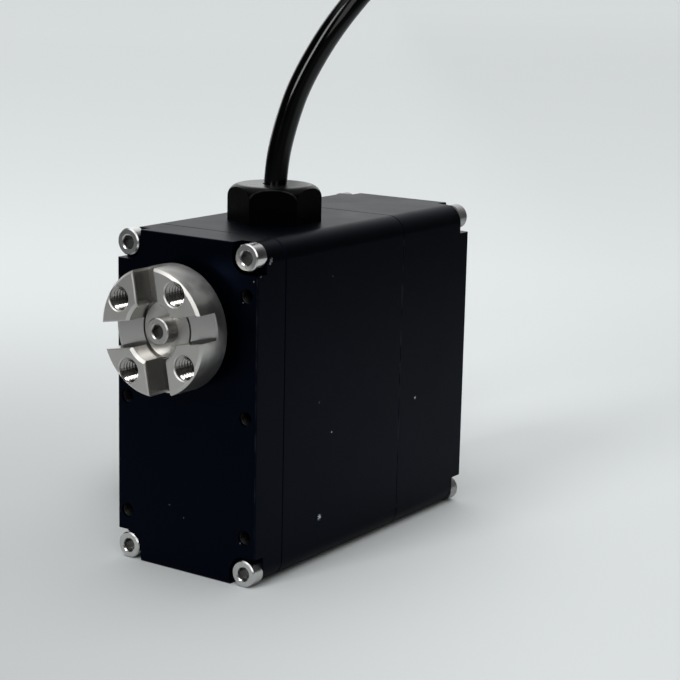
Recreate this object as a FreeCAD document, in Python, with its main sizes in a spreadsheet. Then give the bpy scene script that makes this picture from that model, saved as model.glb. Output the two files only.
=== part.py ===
"""Underwater servo as an assembly of separate pieces, in millimetres.

Frame: +X to the right seen from the front, +Y from the horn face to the rear, +Z up.
The origin is the middle of the housing's bottom face. Every driving size stands in the
sheet "Sizes"; the pieces are bound to it, so a changed size moves all that fits it.
"""
import FreeCAD
import Part
import Sketcher
import math
import os
import re

Vector = FreeCAD.Vector
Rotation = FreeCAD.Rotation
Placement = FreeCAD.Placement

# Driving sizes: name, value or formula, meaning
SIZES = [
    # Housing shells
    ("body_w", 29.2, "housing width along X"),
    ("body_h", 57.0, "housing height along Z"),
    ("body_d", 65.0, "housing depth along Y"),
    ("cover_t", 7.6, "front cover thickness"),
    ("rear_d", 22.4, "rear cover depth"),
    ("edge_r", 3.2, "radius of the long edges"),
    ("rim_r", 0.35, "radius round the front and rear faces"),
    ("seam_ease", 0.15, "edge break along the seams"),
    ("wall_side", 4.4, "side wall"),
    ("wall_top", 4.5, "top and bottom wall"),
    ("wall_rear", 4.4, "rear wall"),
    ("cav_r", 2.0, "cavity corner radius"),
    ("front_y", "=-body_d / 2", "front face"),
    ("rear_y", "=body_d / 2", "rear face"),
    ("seam_front", "=front_y + cover_t", "front seam"),
    ("seam_rear", "=rear_y - rear_d", "rear seam"),
    ("mid_d", "=seam_rear - seam_front", "main housing depth"),
    ("mid_z", "=body_h / 2", "half height"),
    ("cav_w", "=body_w - 2 * wall_side", "cavity width"),
    ("cav_h", "=body_h - 2 * wall_top", "cavity height"),
    ("rear_cav", "=rear_d - wall_rear", "rear cover cavity depth"),
    # Cover screws, M2.5 socket heads in corner notches
    ("screw_inset", 2.3, "screw axis from both faces"),
    ("screw_r", 1.25, "M2.5 thread radius"),
    ("screw_clear", 1.35, "M2.5 clearance radius"),
    ("head_r", 2.25, "socket head radius"),
    ("head_len", 2.5, "socket head height"),
    ("head_edge", 0.2, "socket head edge break"),
    ("hex_r", 1.155, "socket hexagon corner radius"),
    ("hex_deep", 1.3, "socket depth"),
    ("hex_flat", "=hex_r * sqrt(3) / 2", "half the socket width across flats"),
    ("mouth_r", 1.32, "socket mouth radius"),
    ("mouth_deep", 0.2, "socket mouth depth"),
    ("notch_r", 2.75, "corner notch radius"),
    ("notch_deep", 2.5, "front corner notch depth"),
    ("rear_notch", 3.0, "rear corner notch depth"),
    ("notch_out", 4.0, "notch tool reach past the faces"),
    ("front_grip", 12.0, "front screw length under the head"),
    ("rear_grip", 27.0, "rear screw length under the head"),
    ("tap_spare", 1.5, "tapped depth past the screw end"),
    ("screw_x", "=body_w / 2 - screw_inset", "screw axis from the middle"),
    ("screw_up", "=body_h / 2 - screw_inset", "screw axis from half height"),
    ("front_tap", "=front_grip - cover_t + notch_deep + tap_spare", "front tapped depth"),
    ("rear_tap", "=rear_grip - rear_d + rear_notch + tap_spare", "rear tapped depth"),
    # Tapped M3 mounting holes in the front face
    ("face_inset", 2.1, "hole column from the side face"),
    ("face_edge", 8.5, "outer holes from the top and bottom faces"),
    ("face_x", "=body_w / 2 - face_inset", "hole column from the middle"),
    ("face_pitch", "=body_h / 2 - face_edge", "hole spacing along Z"),
    ("face_r", 1.25, "M3 tapping drill radius"),
    ("face_deep", 5.0, "hole depth"),
    ("face_span", "=2 * face_pitch", "first to last hole"),
    # Cover seals
    ("groove_w", 1.3, "seal groove width"),
    ("groove_deep", 0.75, "seal groove depth"),
    ("groove_land", 0.55, "land between cavity and groove"),
    ("cord_w", 1.1, "seal cord width when clamped"),
    ("cord_edge", 0.25, "seal cord edge radius"),
    ("groove_in_w", "=cav_w + 2 * groove_land", "groove inner width"),
    ("groove_in_h", "=cav_h + 2 * groove_land", "groove inner height"),
    ("groove_in_r", "=cav_r + groove_land", "groove inner corner"),
    ("groove_out_w", "=groove_in_w + 2 * groove_w", "groove outer width"),
    ("groove_out_h", "=groove_in_h + 2 * groove_w", "groove outer height"),
    ("groove_out_r", "=groove_in_r + groove_w", "groove outer corner"),
    ("seal_side", "=(groove_w - cord_w) / 2", "seal clearance to each groove wall"),
    ("seal_in_w", "=groove_in_w + 2 * seal_side", "seal inner width"),
    ("seal_in_h", "=groove_in_h + 2 * seal_side", "seal inner height"),
    ("seal_in_r", "=groove_in_r + seal_side", "seal inner corner"),
    ("seal_out_w", "=seal_in_w + 2 * cord_w", "seal outer width"),
    ("seal_out_h", "=seal_in_h + 2 * cord_w", "seal outer height"),
    ("seal_out_r", "=seal_in_r + cord_w", "seal outer corner"),
    # Output shaft, its seal and bearings
    ("shaft_drop", 14.7, "output axis under the housing top"),
    ("shaft_z", "=body_h - shaft_drop", "output axis height"),
    ("shaft_r", 4.0, "shaft radius in seal and front bearing"),
    ("lip_gap", 0.2, "shaft to cover lip"),
    ("run_gap", 0.03, "running clearance on a radius"),
    ("lipseal_r", 7.0, "shaft seal outer radius"),
    ("lipseal_w", 2.4, "shaft seal width"),
    ("bear_r", 8.0, "front bearing outer radius"),
    ("bear_w", 4.0, "front bearing width"),
    ("bear_pitch", 6.0, "front ball circle radius"),
    ("bear_ball", 1.0, "front ball radius"),
    ("bear_land", 0.6, "front ring land from the ball circle"),
    ("tail_r", 2.0, "shaft tail radius in the rear bearing"),
    ("tail_bear_r", 4.5, "rear bearing outer radius"),
    ("tail_bear_w", 2.5, "rear bearing width"),
    ("tail_pitch", 3.25, "rear ball circle radius"),
    ("tail_ball", 0.75, "rear ball radius"),
    ("tail_land", 0.4, "rear ring land from the ball circle"),
    ("race_gap", 0.02, "ball to race clearance"),
    ("lip_shell", 1.0, "shaft seal outer wall"),
    ("lip_thick", 0.8, "shaft seal lip thickness"),
    ("lip_deep", 1.4, "shaft seal groove depth"),
    ("seat_r", 3.0, "output wheel seat radius"),
    ("lip_r", "=shaft_r + lip_gap", "cover lip radius"),
    ("seal_pocket", "=bear_w + lipseal_w", "seal pocket depth from the seam"),
    ("lip_y", "=seam_front - bear_w - lip_deep", "shaft seal groove floor"),
    # Horn
    ("horn_r", 10.5, "horn radius"),
    ("horn_t", 6.3, "horn thickness"),
    ("horn_gap", 2.4, "horn back to front face"),
    ("horn_edge", 0.45, "horn rim and bore chamfer"),
    ("slot_edge", 0.2, "horn slot edge break"),
    ("slot_w", 4.4, "cross slot width"),
    ("slot_deep", 4.1, "cross slot depth"),
    ("clamp_bore", 5.0, "horn counterbore radius"),
    ("clamp_r", 4.65, "clamp washer radius"),
    ("clamp_t", 1.0, "clamp washer thickness"),
    ("horn_pcd_r", 8.3, "tapped hole circle radius"),
    ("horn_hole_r", 2.0, "M4 thread radius"),
    ("horn_sink_r", 2.2, "countersink radius at the face"),
    ("horn_angle", 10.0, "horn turn at rest, degrees"),
    ("hub_r", 5.5, "horn hub radius"),
    ("hub_gap", 0.5, "horn hub to front face"),
    ("key_r", 3.5, "shaft end radius"),
    ("key_flat", 2.8, "shaft end flat from the axis"),
    ("key_short", 0.2, "shaft end below the washer seat"),
    ("horn_bolt", 8.0, "horn screw length under the head"),
    ("horn_back", "=front_y - horn_gap", "horn back face"),
    ("horn_front", "=horn_back - horn_t", "horn front face"),
    ("slot_floor", "=horn_front + slot_deep", "slot floor, washer face"),
    ("clamp_seat", "=slot_floor + clamp_t", "washer seat"),
    ("clamp_deep", "=slot_deep + clamp_t", "counterbore depth"),
    ("hub_y", "=front_y - hub_gap", "hub back face, shaft shoulder"),
    ("key_y", "=clamp_seat + key_short", "shaft end face"),
    ("hub_len", "=horn_gap - hub_gap", "hub length"),
    ("half_slot", "=slot_w / 2", "half the slot width"),
    ("slot_reach", "=horn_r + 1", "slot tool reach past the rim"),
    # Gear train
    ("pinion_teeth", 12, "teeth of every pinion"),
    ("wheel_teeth", 42, "teeth of first and second wheels"),
    ("slow_teeth", 36, "teeth of third and output wheels"),
    ("module_fast", 0.35, "first stage module"),
    ("module_mid", 0.4, "second stage module"),
    ("module_slow", 0.45, "third and output stage module"),
    ("backlash", 0.05, "tooth thinning at the pitch circle"),
    ("pin_r", 1.0, "gear pin radius"),
    ("pin_seat", 3.0, "gear pin depth in cover"),
    ("level_gap", 0.2, "gap between gear levels"),
    ("slow_w", 3.4, "output wheel width"),
    ("third_w", 2.2, "third wheel width"),
    ("second_w", 1.8, "second wheel width"),
    ("first_w", 1.6, "first wheel width"),
    ("cover_gap", 0.6, "output wheel to cover"),
    ("reach_fast", "=module_fast * (pinion_teeth + wheel_teeth) / 2", "first centre distance"),
    ("reach_mid", "=module_mid * (pinion_teeth + wheel_teeth) / 2", "second centre distance"),
    ("reach_slow", "=module_slow * (pinion_teeth + slow_teeth) / 2", "slow centre distance"),
    ("axle_z", "=shaft_z - reach_slow", "long pin height"),
    ("second_z", "=axle_z - reach_mid", "short pin height"),
    ("motor_z", "=axle_z - reach_fast", "motor axis height"),
    ("slow_y", "=seam_front + cover_gap", "output wheel level"),
    ("seat_end", "=slow_y + slow_w", "rear of the output wheel"),
    ("third_y", "=seat_end + level_gap", "third wheel level"),
    ("second_y", "=third_y + third_w + level_gap", "second wheel level"),
    ("first_y", "=second_y + second_w + level_gap", "first wheel level"),
    ("gear_end", "=first_y + first_w", "rear of the first wheel"),
    ("plate_gap", 0.3, "first wheel to gear plate"),
    ("gear_hub_r", 1.8, "second gear hub radius"),
    ("plate_y", "=gear_end + plate_gap", "gear plate front"),
    ("plate_t", 3.0, "gear plate thickness"),
    ("plate_back", "=plate_y + plate_t", "gear plate rear"),
    ("plate_side", 0.2, "gear plate to cavity wall"),
    ("plate_low", 0.3, "gear plate to cavity floor and top"),
    ("plate_w", "=cav_w - 2 * plate_side", "gear plate width"),
    ("plate_h", "=cav_h - 2 * plate_low", "gear plate height"),
    ("plate_r", "=cav_r", "gear plate corner"),
    ("thread_len", 8.4, "gland thread length"),
    ("thread_end", "=body_h - thread_len", "gland thread end"),
    ("nut_room_w", 12.6, "plate notch width under the gland nut"),
    ("nut_room_gap", 0.4, "plate notch floor under the gland thread"),
    ("nut_room_z", "=thread_end - nut_room_gap", "plate notch floor"),
    ("post_side", 1.9, "standoff axis from the cavity side"),
    ("post_end", 2.1, "standoff axis from cavity top and floor"),
    ("post_x", "=cav_w / 2 - post_side", "standoff from the middle"),
    ("post_up", "=cav_h / 2 - post_end", "standoff from half height"),
    ("post_r", 1.7, "standoff radius"),
    ("small_r", 1.0, "M2 thread radius"),
    ("small_clear", 1.1, "M2 clearance radius"),
    ("small_head_r", 1.9, "M2 countersunk head radius"),
    ("pan_r", 1.7, "M2 pan head radius"),
    ("screw_short", 0.5, "screw end above its hole's floor"),
    ("small_head", 1.3, "M2 head height"),
    ("plate_bite", 4.0, "plate screw depth in the cover"),
    ("post_len", "=plate_y - seam_front", "standoff length"),
    # Motor
    ("can_r", 8.0, "motor can radius"),
    ("can_wall", 0.6, "motor can wall"),
    ("can_len", 20.0, "motor can length"),
    ("bush_r", 2.5, "motor bush radius"),
    ("bush_len", 2.4, "motor bush length ahead of the can"),
    ("bush_tail", 1.0, "motor bush length inside the can"),
    ("rotor_r", 0.75, "motor shaft radius"),
    ("rotor_short", 0.6, "motor shaft end inside the end cap"),
    ("arm_r", 6.2, "armature radius"),
    ("arm_len", 9.0, "armature length"),
    ("arm_start", 4.5, "armature start behind the can face"),
    ("arm_slot", 1.6, "armature slot width"),
    ("arm_slot_deep", 3.0, "armature slot depth"),
    ("coil_r", 5.4, "end winding radius"),
    ("coil_len", 1.8, "end winding length"),
    ("coil_eye", 1.75, "end winding inner radius"),
    ("comm_r", 2.2, "commutator radius"),
    ("comm_gap", 0.6, "end winding to commutator"),
    ("comm_len", 3.4, "commutator length"),
    ("mag_in", 6.6, "motor magnet inner radius"),
    ("mag_len", 12.0, "motor magnet length"),
    ("mag_gap_w", 5.0, "gap between the magnets"),
    ("cap_len", 3.0, "motor end cap length"),
    ("cap_plug", 1.2, "end cap spigot length"),
    ("cap_eye", 3.0, "end cap commutator room"),
    ("brush_w", 1.6, "brush width"),
    ("brush_room", 2.2, "brush guide depth"),
    ("brush_inset", 1.5, "brush end inside the can bore"),
    ("motor_bolt_x", 5.2, "motor screw from the axis"),
    ("sink_recess", 0.6, "countersunk screw recess depth"),
    ("can_y", "=plate_back", "motor can front"),
    ("can_end", "=can_y + can_len", "motor can rear"),
    ("cap_end", "=can_end + cap_len", "motor end cap rear"),
    ("bore_r", "=can_r - can_wall", "can inner radius"),
    ("arm_y", "=can_y + arm_start", "armature front"),
    ("arm_end", "=arm_y + arm_len", "armature rear"),
    ("mag_y", "=arm_y - (mag_len - arm_len) / 2", "motor magnet front"),
    ("comm_y", "=arm_end + coil_len + comm_gap", "commutator front"),
    # Position encoder on the shaft tail
    ("tail_out", 0.8, "shaft tail past the plate"),
    ("pole_r", 2.5, "encoder magnet radius"),
    ("pole_len", 2.0, "encoder magnet length"),
    ("sense_gap", 0.6, "magnet to sensor"),
    ("sense_t", 1.0, "sensor thickness"),
    ("sense_w", 4.0, "sensor width"),
    ("enc_w", 14.0, "encoder board width"),
    ("enc_t", 1.0, "encoder board thickness"),
    ("enc_over", 2.8, "encoder board above the output axis"),
    ("enc_under", 9.7, "encoder board below the output axis"),
    ("enc_top", "=shaft_z + enc_over", "encoder board top"),
    ("enc_low", "=shaft_z - enc_under", "encoder board bottom"),
    ("enc_post_x", 5.4, "encoder post from the middle"),
    ("enc_post_drop", 7.1, "encoder post under the output axis"),
    ("enc_post_z", "=shaft_z - enc_post_drop", "encoder post height"),
    ("enc_post_r", 1.5, "encoder post radius"),
    ("enc_tap", 3.0, "encoder post tapped depth"),
    ("enc_bite", 2.5, "encoder screw depth in its post"),
    ("tiny_r", 0.8, "M1.6 thread radius"),
    ("tiny_head_r", 1.4, "M1.6 head radius"),
    ("tiny_head", 0.9, "M1.6 head height"),
    ("tail_end", "=plate_back + tail_out", "shaft tail end"),
    ("pole_end", "=tail_end + pole_len", "encoder magnet rear"),
    ("sense_y", "=pole_end + sense_gap", "sensor front"),
    ("enc_y", "=sense_y + sense_t", "encoder board front"),
    ("enc_back", "=enc_y + enc_t", "encoder board rear"),
    # Control board on bosses of the rear cover
    ("boss_side", 2.9, "boss axis from the cavity side"),
    ("boss_end", 5.5, "boss axis from cavity top and floor"),
    ("boss_x", "=cav_w / 2 - boss_side", "boss from the middle"),
    ("boss_up", "=cav_h / 2 - boss_end", "boss from half height"),
    ("boss_r", 2.1, "boss radius"),
    ("boss_len", 6.0, "boss length"),
    ("boss_tap", 5.0, "boss tapped depth"),
    ("board_side", 0.7, "control board to cavity side"),
    ("board_end", 3.0, "control board to cavity top and floor"),
    ("board_w", "=cav_w - 2 * board_side", "control board width"),
    ("board_h", "=cav_h - 2 * board_end", "control board height"),
    ("board_t", 1.6, "control board thickness"),
    ("rear_floor", "=seam_rear + rear_cav", "rear cavity floor"),
    ("board_back", "=rear_floor - boss_len", "control board rear"),
    ("board_y", "=board_back - board_t", "control board front"),
    ("chip_t", 1.2, "driver chip thickness"),
    ("chip_w", 5.0, "driver chip width"),
    ("chip_gap", 0.4, "gap between the lower chips"),
    ("chip_drop", 1.0, "lower chips under the motor leads"),
    ("chip_rise", 1.5, "upper chip under the lead socket"),
    ("cap_r", 2.6, "capacitor radius"),
    ("cap_h", 4.6, "capacitor height"),
    ("cap_x", 5.5, "capacitor from the middle"),
    ("cap_drop", 9.1, "capacitor under the gland thread"),
    ("cap_z", "=thread_end - cap_drop", "capacitor height on the board"),
    ("tab_x", 4.5, "motor lead from the middle"),
    ("socket_w", 9.0, "lead socket width"),
    ("socket_h", 5.0, "lead socket height"),
    ("socket_t", 4.0, "lead socket depth"),
    ("ribbon_w", 5.0, "encoder ribbon width"),
    ("ribbon_t", 0.4, "encoder ribbon thickness"),
    ("ribbon_up", 0.8, "encoder ribbon above the board's lower edge"),
    ("ribbon_z", "=enc_low + ribbon_up", "encoder ribbon height"),
    # Cable gland
    ("gland_behind", 2.8, "gland axis behind the gear plate"),
    ("gland_y", "=plate_back + gland_behind", "gland axis along Y"),
    ("gland_af", 14.0, "gland hexagon across flats"),
    ("gland_top_r", 8.08, "gland turned radius"),
    ("gland_h", 6.3, "gland head height"),
    ("gland_round", 2.2, "gland shoulder radius"),
    ("gland_turn", 34.6, "gland hexagon turn, degrees"),
    ("thread_r", 4.0, "M8 gland thread radius"),
    ("thread_gap", 0.1, "gland thread to housing bore"),
    ("ring_in", 4.6, "gland seal inner radius"),
    ("ring_w", 1.6, "gland seal groove width"),
    ("ring_deep", 1.0, "gland seal groove depth"),
    ("ring_cord", 1.4, "gland seal width when clamped"),
    ("ring_side", "=(ring_w - ring_cord) / 2", "gland seal to each groove wall"),
    ("nut_af", 11.5, "gland nut across flats"),
    ("nut_h", 3.2, "gland nut height"),
    ("cable_r", 2.0, "cable radius"),
    ("cable_fit", 0.1, "cable to gland bore"),
    ("pot_r", 3.0, "potting cavity radius"),
    ("pot_h", 10.0, "potting cavity height"),
    ("wire_r", 0.5, "inner lead radius"),
    ("wire_pitch", 2.0, "inner lead spacing"),
    ("wire_bend", 2.6, "inner lead bend radius"),
    ("cav_top", "=body_h - wall_top", "cavity top"),
    ("cable_start", "=thread_end + pot_h", "cable jacket start"),
    # Put-away cable on the floor and its plug
    ("hank_w", 28.0, "hank width"),
    ("hank_l", 72.0, "hank length"),
    ("hank_h", 16.0, "hank height, four turns"),
    ("hank_gap", 1.9, "housing side to hank"),
    ("hank_x", "=-(body_w / 2 + hank_gap + hank_w / 2)", "hank middle along X"),
    ("hank_y", 30.5, "hank middle along Y"),
    ("tie_t", 1.0, "tie thickness"),
    ("tie_w", 10.0, "tie width"),
    ("tie_slack", 0.3, "tie to hank clearance"),
    ("tie_y", 44.0, "tie front edge"),
    ("step_y", 8.95, "where the cable joins the top turn"),
    ("cable_lift", 0.05, "cable over the last full turn"),
    ("exit_r", 12.0, "bend radius of the cable end"),
    ("exit_root", 1.5, "cable end inside the bottom turn"),
    ("exit_inset", 0.3, "cable end axis inside the turn's axis"),
    ("exit_shift", "=hank_w / 2 - cable_r - exit_inset", "way of the cable end to the middle"),
    ("sleeve_r", 2.3, "cable end sleeve radius"),
    ("sleeve_len", 9.5, "cable end sleeve length"),
    ("sleeve_y", 31.0, "cable end sleeve front"),
    ("plug_w", 7.7, "plug width"),
    ("plug_h", 2.6, "plug height"),
    ("plug_len", 14.0, "plug length"),
    ("plug_z", "=tie_t + plug_h / 2", "plug axis height"),
    ("plug_pitch", 2.54, "plug contact spacing"),
    ("tail_wire_r", 0.65, "plug lead radius"),
    ("tail_wire_pitch", 1.45, "plug lead spacing"),
    ("tail_wire_len", 6.8, "plug lead length"),
    ("plug_y", "=sleeve_y + sleeve_len + tail_wire_len", "plug front"),
    ("pin_hole", 1.1, "plug contact window"),
    ("pin_w", 0.9, "plug contact width"),
    ("pin_deep", 8.0, "plug contact window depth"),
    ("pin_inset", 1.0, "plug contact behind the plug face"),
]

# Cable centre line: the rise shown, counted from the housing top on the gland axis
CABLE_RISE = [
    (0.0, 0.0, 8.8),
    (1.577, 1.078, 17.5),
    (3.67, 2.51, 24.55),
    (9.09, 6.213, 34.39),
]
# The arch over and the way down behind
CABLE_ARCH = [
    (13.35, 5.37, 103.0),
    (8.53, 21.46, 119.0),
    (-3.89, 39.62, 119.0),
    (-16.63, 50.29, 104.0),
    (-24.88, 47.07, 89.41),
    (-31.37, 42.64, 77.66),
    (-33.86, 40.94, 69.25),
    (-35.92, 39.53, 57.0),
]
# The landing on the hank, counted from the cable's end there
CABLE_LANDING = [
    (2.0, 30.55, 17.65),
    (0.5, 24.1, 6.45),
    (0.0, 12.9, 0.0),
]
ARC_SHARE = 0.45
CHIP_PLACES = [
    ("-chip_gap / 2 - chip_w", "motor_z - chip_drop - chip_w"),
    ("chip_gap / 2", "motor_z - chip_drop - chip_w"),
    ("-chip_w / 2", "thread_end - wire_bend - socket_h / 2 - chip_rise - chip_w"),
]
NUT_TURN = 30.0
PRESSURE_ANGLE = math.radians(20.0)
PINION_ADDENDUM = 1.0
WHEEL_ADDENDUM = 0.75
DEDENDUM = 1.2
FLANK_STEPS = 2
FRONT_BALLS = 9
REAR_BALLS = 7

DOC = FreeCAD.newDocument("UnderwaterServo")
SHEET = DOC.addObject("Spreadsheet::Sheet", "Sizes")
for row, (alias, value, meaning) in enumerate(SIZES, start=1):
    SHEET.set("A%d" % row, alias)
    SHEET.set("B%d" % row, str(value))
    SHEET.set("C%d" % row, meaning)
    SHEET.setAlias("B%d" % row, alias)
DOC.recompute()
ALIASES = {alias for alias, _, _ in SIZES}
WORD = re.compile(r"[a-z][a-z_]*")
TURNS = {
    "x": Rotation(Vector(0, 1, 0), 90),
    "y": Rotation(Vector(1, 0, 0), -90),
    "z": Rotation(),
}
NODES = []


def size(alias):
    """Returns the number that stands in the sheet under an alias."""
    return float(SHEET.get(alias))


def bind(obj, prop, text):
    """Binds a property to a formula written with sheet aliases."""
    named = WORD.sub(lambda m: "Sizes." + m.group(0) if m.group(0) in ALIASES else m.group(0), text)
    obj.setExpression(prop, named)


def put(obj, at, axis="z"):
    """Turns a primitive onto an axis and binds its position."""
    obj.Placement = Placement(Vector(), TURNS[axis])
    for letter, text in zip("xyz", at):
        bind(obj, "Placement.Base." + letter, text)
    return obj


def add(kind, name):
    """Adds a document object."""
    return DOC.addObject(kind, name)


def cylinder(name, radius, length, at, axis="y"):
    """Cylinder that starts at a point and runs along an axis."""
    obj = add("Part::Cylinder", name)
    bind(obj, "Radius", radius)
    bind(obj, "Height", length)
    return put(obj, at, axis)


def cone(name, radius_start, radius_end, length, at, axis="y"):
    """Cone that starts at a point and runs along an axis."""
    obj = add("Part::Cone", name)
    bind(obj, "Radius1", radius_start)
    bind(obj, "Radius2", radius_end)
    bind(obj, "Height", length)
    return put(obj, at, axis)


def box(name, sides, at):
    """Box from its low corner."""
    obj = add("Part::Box", name)
    for prop, text in zip(("Length", "Width", "Height"), sides):
        bind(obj, prop, text)
    return put(obj, at)


def prism(name, corner_radius, length, at, axis="y"):
    """Hexagonal prism that starts at a point and runs along an axis."""
    obj = add("Part::Prism", name)
    obj.Polygon = 6
    bind(obj, "Circumradius", corner_radius)
    bind(obj, "Height", length)
    return put(obj, at, axis)


def torus(name, ring, tube, at, axis="y"):
    """Torus round an axis."""
    obj = add("Part::Torus", name)
    bind(obj, "Radius1", ring)
    bind(obj, "Radius2", tube)
    return put(obj, at, axis)


def fuse(name, shapes):
    """Union of document objects."""
    obj = add("Part::MultiFuse", name)
    obj.Shapes = shapes
    return obj


def common(name, shapes):
    """Intersection of document objects."""
    obj = add("Part::MultiCommon", name)
    obj.Shapes = shapes
    return obj


def cut(name, base, tools):
    """Base without the tools."""
    tool = tools[0] if len(tools) == 1 else fuse(name + "_tools", tools)
    obj = add("Part::Cut", name)
    obj.Base = base
    obj.Tool = tool
    return obj


def mirror(name, source, normal, height=None):
    """Mirror image across the plane X = 0 or across half height."""
    obj = add("Part::Mirroring", name)
    obj.Source = source
    obj.Normal = normal
    if height:
        bind(obj, "Base.z", height)
    return obj


def four_corners(name, source):
    """The piece and its three mirror images as a group of separate solids."""
    across = mirror(name + "_across", source, Vector(1, 0, 0))
    below = mirror(name + "_below", source, Vector(0, 0, 1), "mid_z")
    opposite = mirror(name + "_opposite", across, Vector(0, 0, 1), "mid_z")
    return group(name, [source, across, below, opposite])


def group(name, members):
    """Several separate solids as one node."""
    obj = add("Part::Compound", name)
    obj.Links = members
    return obj


def soften(name, base, radius, wanted, kind="Part::Fillet"):
    """Fillet or chamfer of the edges that a test picks."""
    DOC.recompute()
    obj = add(kind, name)
    obj.Base = base
    obj.Edges = [(i, radius, radius) for i, e in enumerate(base.Shape.Edges, start=1) if wanted(e)]
    return obj


def node(obj, label):
    """Registers a document object as a named piece of the assembly."""
    obj.Label = label
    NODES.append((label, obj))
    return obj


def new_body(name):
    """Adds an empty body."""
    return add("PartDesign::Body", name)


def new_sketch(body, name, role="XZ_Plane", across="0", up="0", out="0"):
    """Sketch on an origin plane of the body, moved by bound offsets."""
    plane = [f for f in body.Origin.OriginFeatures if f.Role == role][0]
    sketch = body.newObject("Sketcher::SketchObject", name)
    sketch.AttachmentSupport = (plane, [""])
    sketch.MapMode = "FlatFace"
    bind(sketch, "AttachmentOffset.Base.x", across)
    bind(sketch, "AttachmentOffset.Base.y", up)
    bind(sketch, "AttachmentOffset.Base.z", out)
    return sketch


def face_sketch(body, name, level, across="0", up="mid_z"):
    """Sketch that looks at the front, at a level along Y."""
    return new_sketch(body, name, "XZ_Plane", across, up, "-(" + level + ")")


def draw_rounded(sketch, width, height, radius):
    """Draws a rounded rectangle round the sketch origin, bound to the sheet."""
    w, h, r = size(width) / 2, size(height) / 2, size(radius)
    first = sketch.GeometryCount
    corners = [(w - r, -h + r, -90), (w - r, h - r, 0), (-w + r, h - r, 90), (-w + r, -h + r, 180)]
    lines = [
        ((-w + r, -h), (w - r, -h)),
        ((w, -h + r), (w, h - r)),
        ((w - r, h), (-w + r, h)),
        ((-w, h - r), (-w, -h + r)),
    ]
    for (a, b), (cx, cy, start) in zip(lines, corners):
        sketch.addGeometry(Part.LineSegment(Vector(*a, 0), Vector(*b, 0)), False)
        circle = Part.Circle(Vector(cx, cy, 0), Vector(0, 0, 1), r)
        arc = Part.ArcOfCircle(circle, math.radians(start), math.radians(start + 90))
        sketch.addGeometry(arc, False)
    line = [first + 2 * i for i in range(4)]
    arc = [first + 2 * i + 1 for i in range(4)]
    rule = Sketcher.Constraint
    for i in range(4):
        sketch.addConstraint(rule("Tangent", line[i], 2, arc[i], 1))
        sketch.addConstraint(rule("Tangent", arc[i], 2, line[(i + 1) % 4], 1))
        sketch.addConstraint(rule("Horizontal" if i % 2 == 0 else "Vertical", line[i]))
    for i in range(1, 4):
        sketch.addConstraint(rule("Equal", arc[0], arc[i]))
    sketch.addConstraint(rule("Symmetric", line[3], 1, line[1], 1, -1, 1))
    limits = [
        (rule("Radius", arc[0], r), radius),
        (rule("DistanceX", line[3], 1, line[1], 1, 2 * w), width),
        (rule("DistanceY", line[0], 1, line[2], 1, 2 * h), height),
    ]
    for limit, alias in limits:
        index = sketch.addConstraint(limit)
        bind(sketch, "Constraints[%d]" % index, alias)


def draw_circle(sketch, radius):
    """Draws a circle round the sketch origin, bound to the sheet."""
    ring = sketch.addGeometry(Part.Circle(Vector(), Vector(0, 0, 1), size(radius)), False)
    sketch.addConstraint(Sketcher.Constraint("Coincident", ring, 3, -1, 1))
    index = sketch.addConstraint(Sketcher.Constraint("Radius", ring, size(radius)))
    bind(sketch, "Constraints[%d]" % index, radius)


def draw_notch(sketch):
    """Draws the corner notch round the screw axis, open to both outer faces."""
    r, out = size("notch_r"), size("notch_out")
    arc_circle = Part.Circle(Vector(), Vector(0, 0, 1), r)
    sketch.addGeometry(Part.LineSegment(Vector(-r, out, 0), Vector(-r, 0, 0)), False)
    sketch.addGeometry(Part.ArcOfCircle(arc_circle, math.pi, 1.5 * math.pi), False)
    sketch.addGeometry(Part.LineSegment(Vector(0, -r, 0), Vector(out, -r, 0)), False)
    sketch.addGeometry(Part.LineSegment(Vector(out, -r, 0), Vector(out, out, 0)), False)
    sketch.addGeometry(Part.LineSegment(Vector(out, out, 0), Vector(-r, out, 0)), False)
    rule = Sketcher.Constraint
    sketch.addConstraint(rule("Tangent", 0, 2, 1, 1))
    sketch.addConstraint(rule("Tangent", 1, 2, 2, 1))
    sketch.addConstraint(rule("Coincident", 2, 2, 3, 1))
    sketch.addConstraint(rule("Coincident", 3, 2, 4, 1))
    sketch.addConstraint(rule("Coincident", 4, 2, 0, 1))
    sketch.addConstraint(rule("Vertical", 0))
    sketch.addConstraint(rule("Vertical", 3))
    sketch.addConstraint(rule("Horizontal", 2))
    sketch.addConstraint(rule("Horizontal", 4))
    sketch.addConstraint(rule("Coincident", 1, 3, -1, 1))
    limits = [
        (rule("Radius", 1, r), "notch_r"),
        (rule("DistanceX", -1, 1, 3, 1, out), "notch_out"),
        (rule("DistanceY", -1, 1, 4, 1, out), "notch_out"),
    ]
    for limit, alias in limits:
        index = sketch.addConstraint(limit)
        bind(sketch, "Constraints[%d]" % index, alias)


def pad(body, name, sketch, length, rearward=True):
    """Pads a front-looking sketch, towards the rear unless told otherwise."""
    obj = body.newObject("PartDesign::Pad", name)
    obj.Profile = sketch
    bind(obj, "Length", length)
    obj.Reversed = rearward
    sketch.Visibility = False
    return obj


def pocket(body, name, sketch, length=None, forward=False):
    """Cuts a sketch towards the rear, or forward; without a length right through."""
    obj = body.newObject("PartDesign::Pocket", name)
    obj.Profile = sketch
    if length:
        bind(obj, "Length", length)
    else:
        obj.Type = "ThroughAll"
    obj.Reversed = forward
    sketch.Visibility = False
    return obj


def mirror_features(body, name, features, sketch, axes):
    """Repeats features across the axes of a sketch."""
    pattern = body.newObject("PartDesign::MultiTransform", name)
    pattern.Originals = features
    steps = []
    for axis in axes:
        step = body.newObject("PartDesign::Mirrored", name + "_" + axis)
        step.MirrorPlane = (sketch, [axis])
        steps.append(step)
    pattern.Transformations = steps
    body.Tip = pattern
    return pattern


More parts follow.
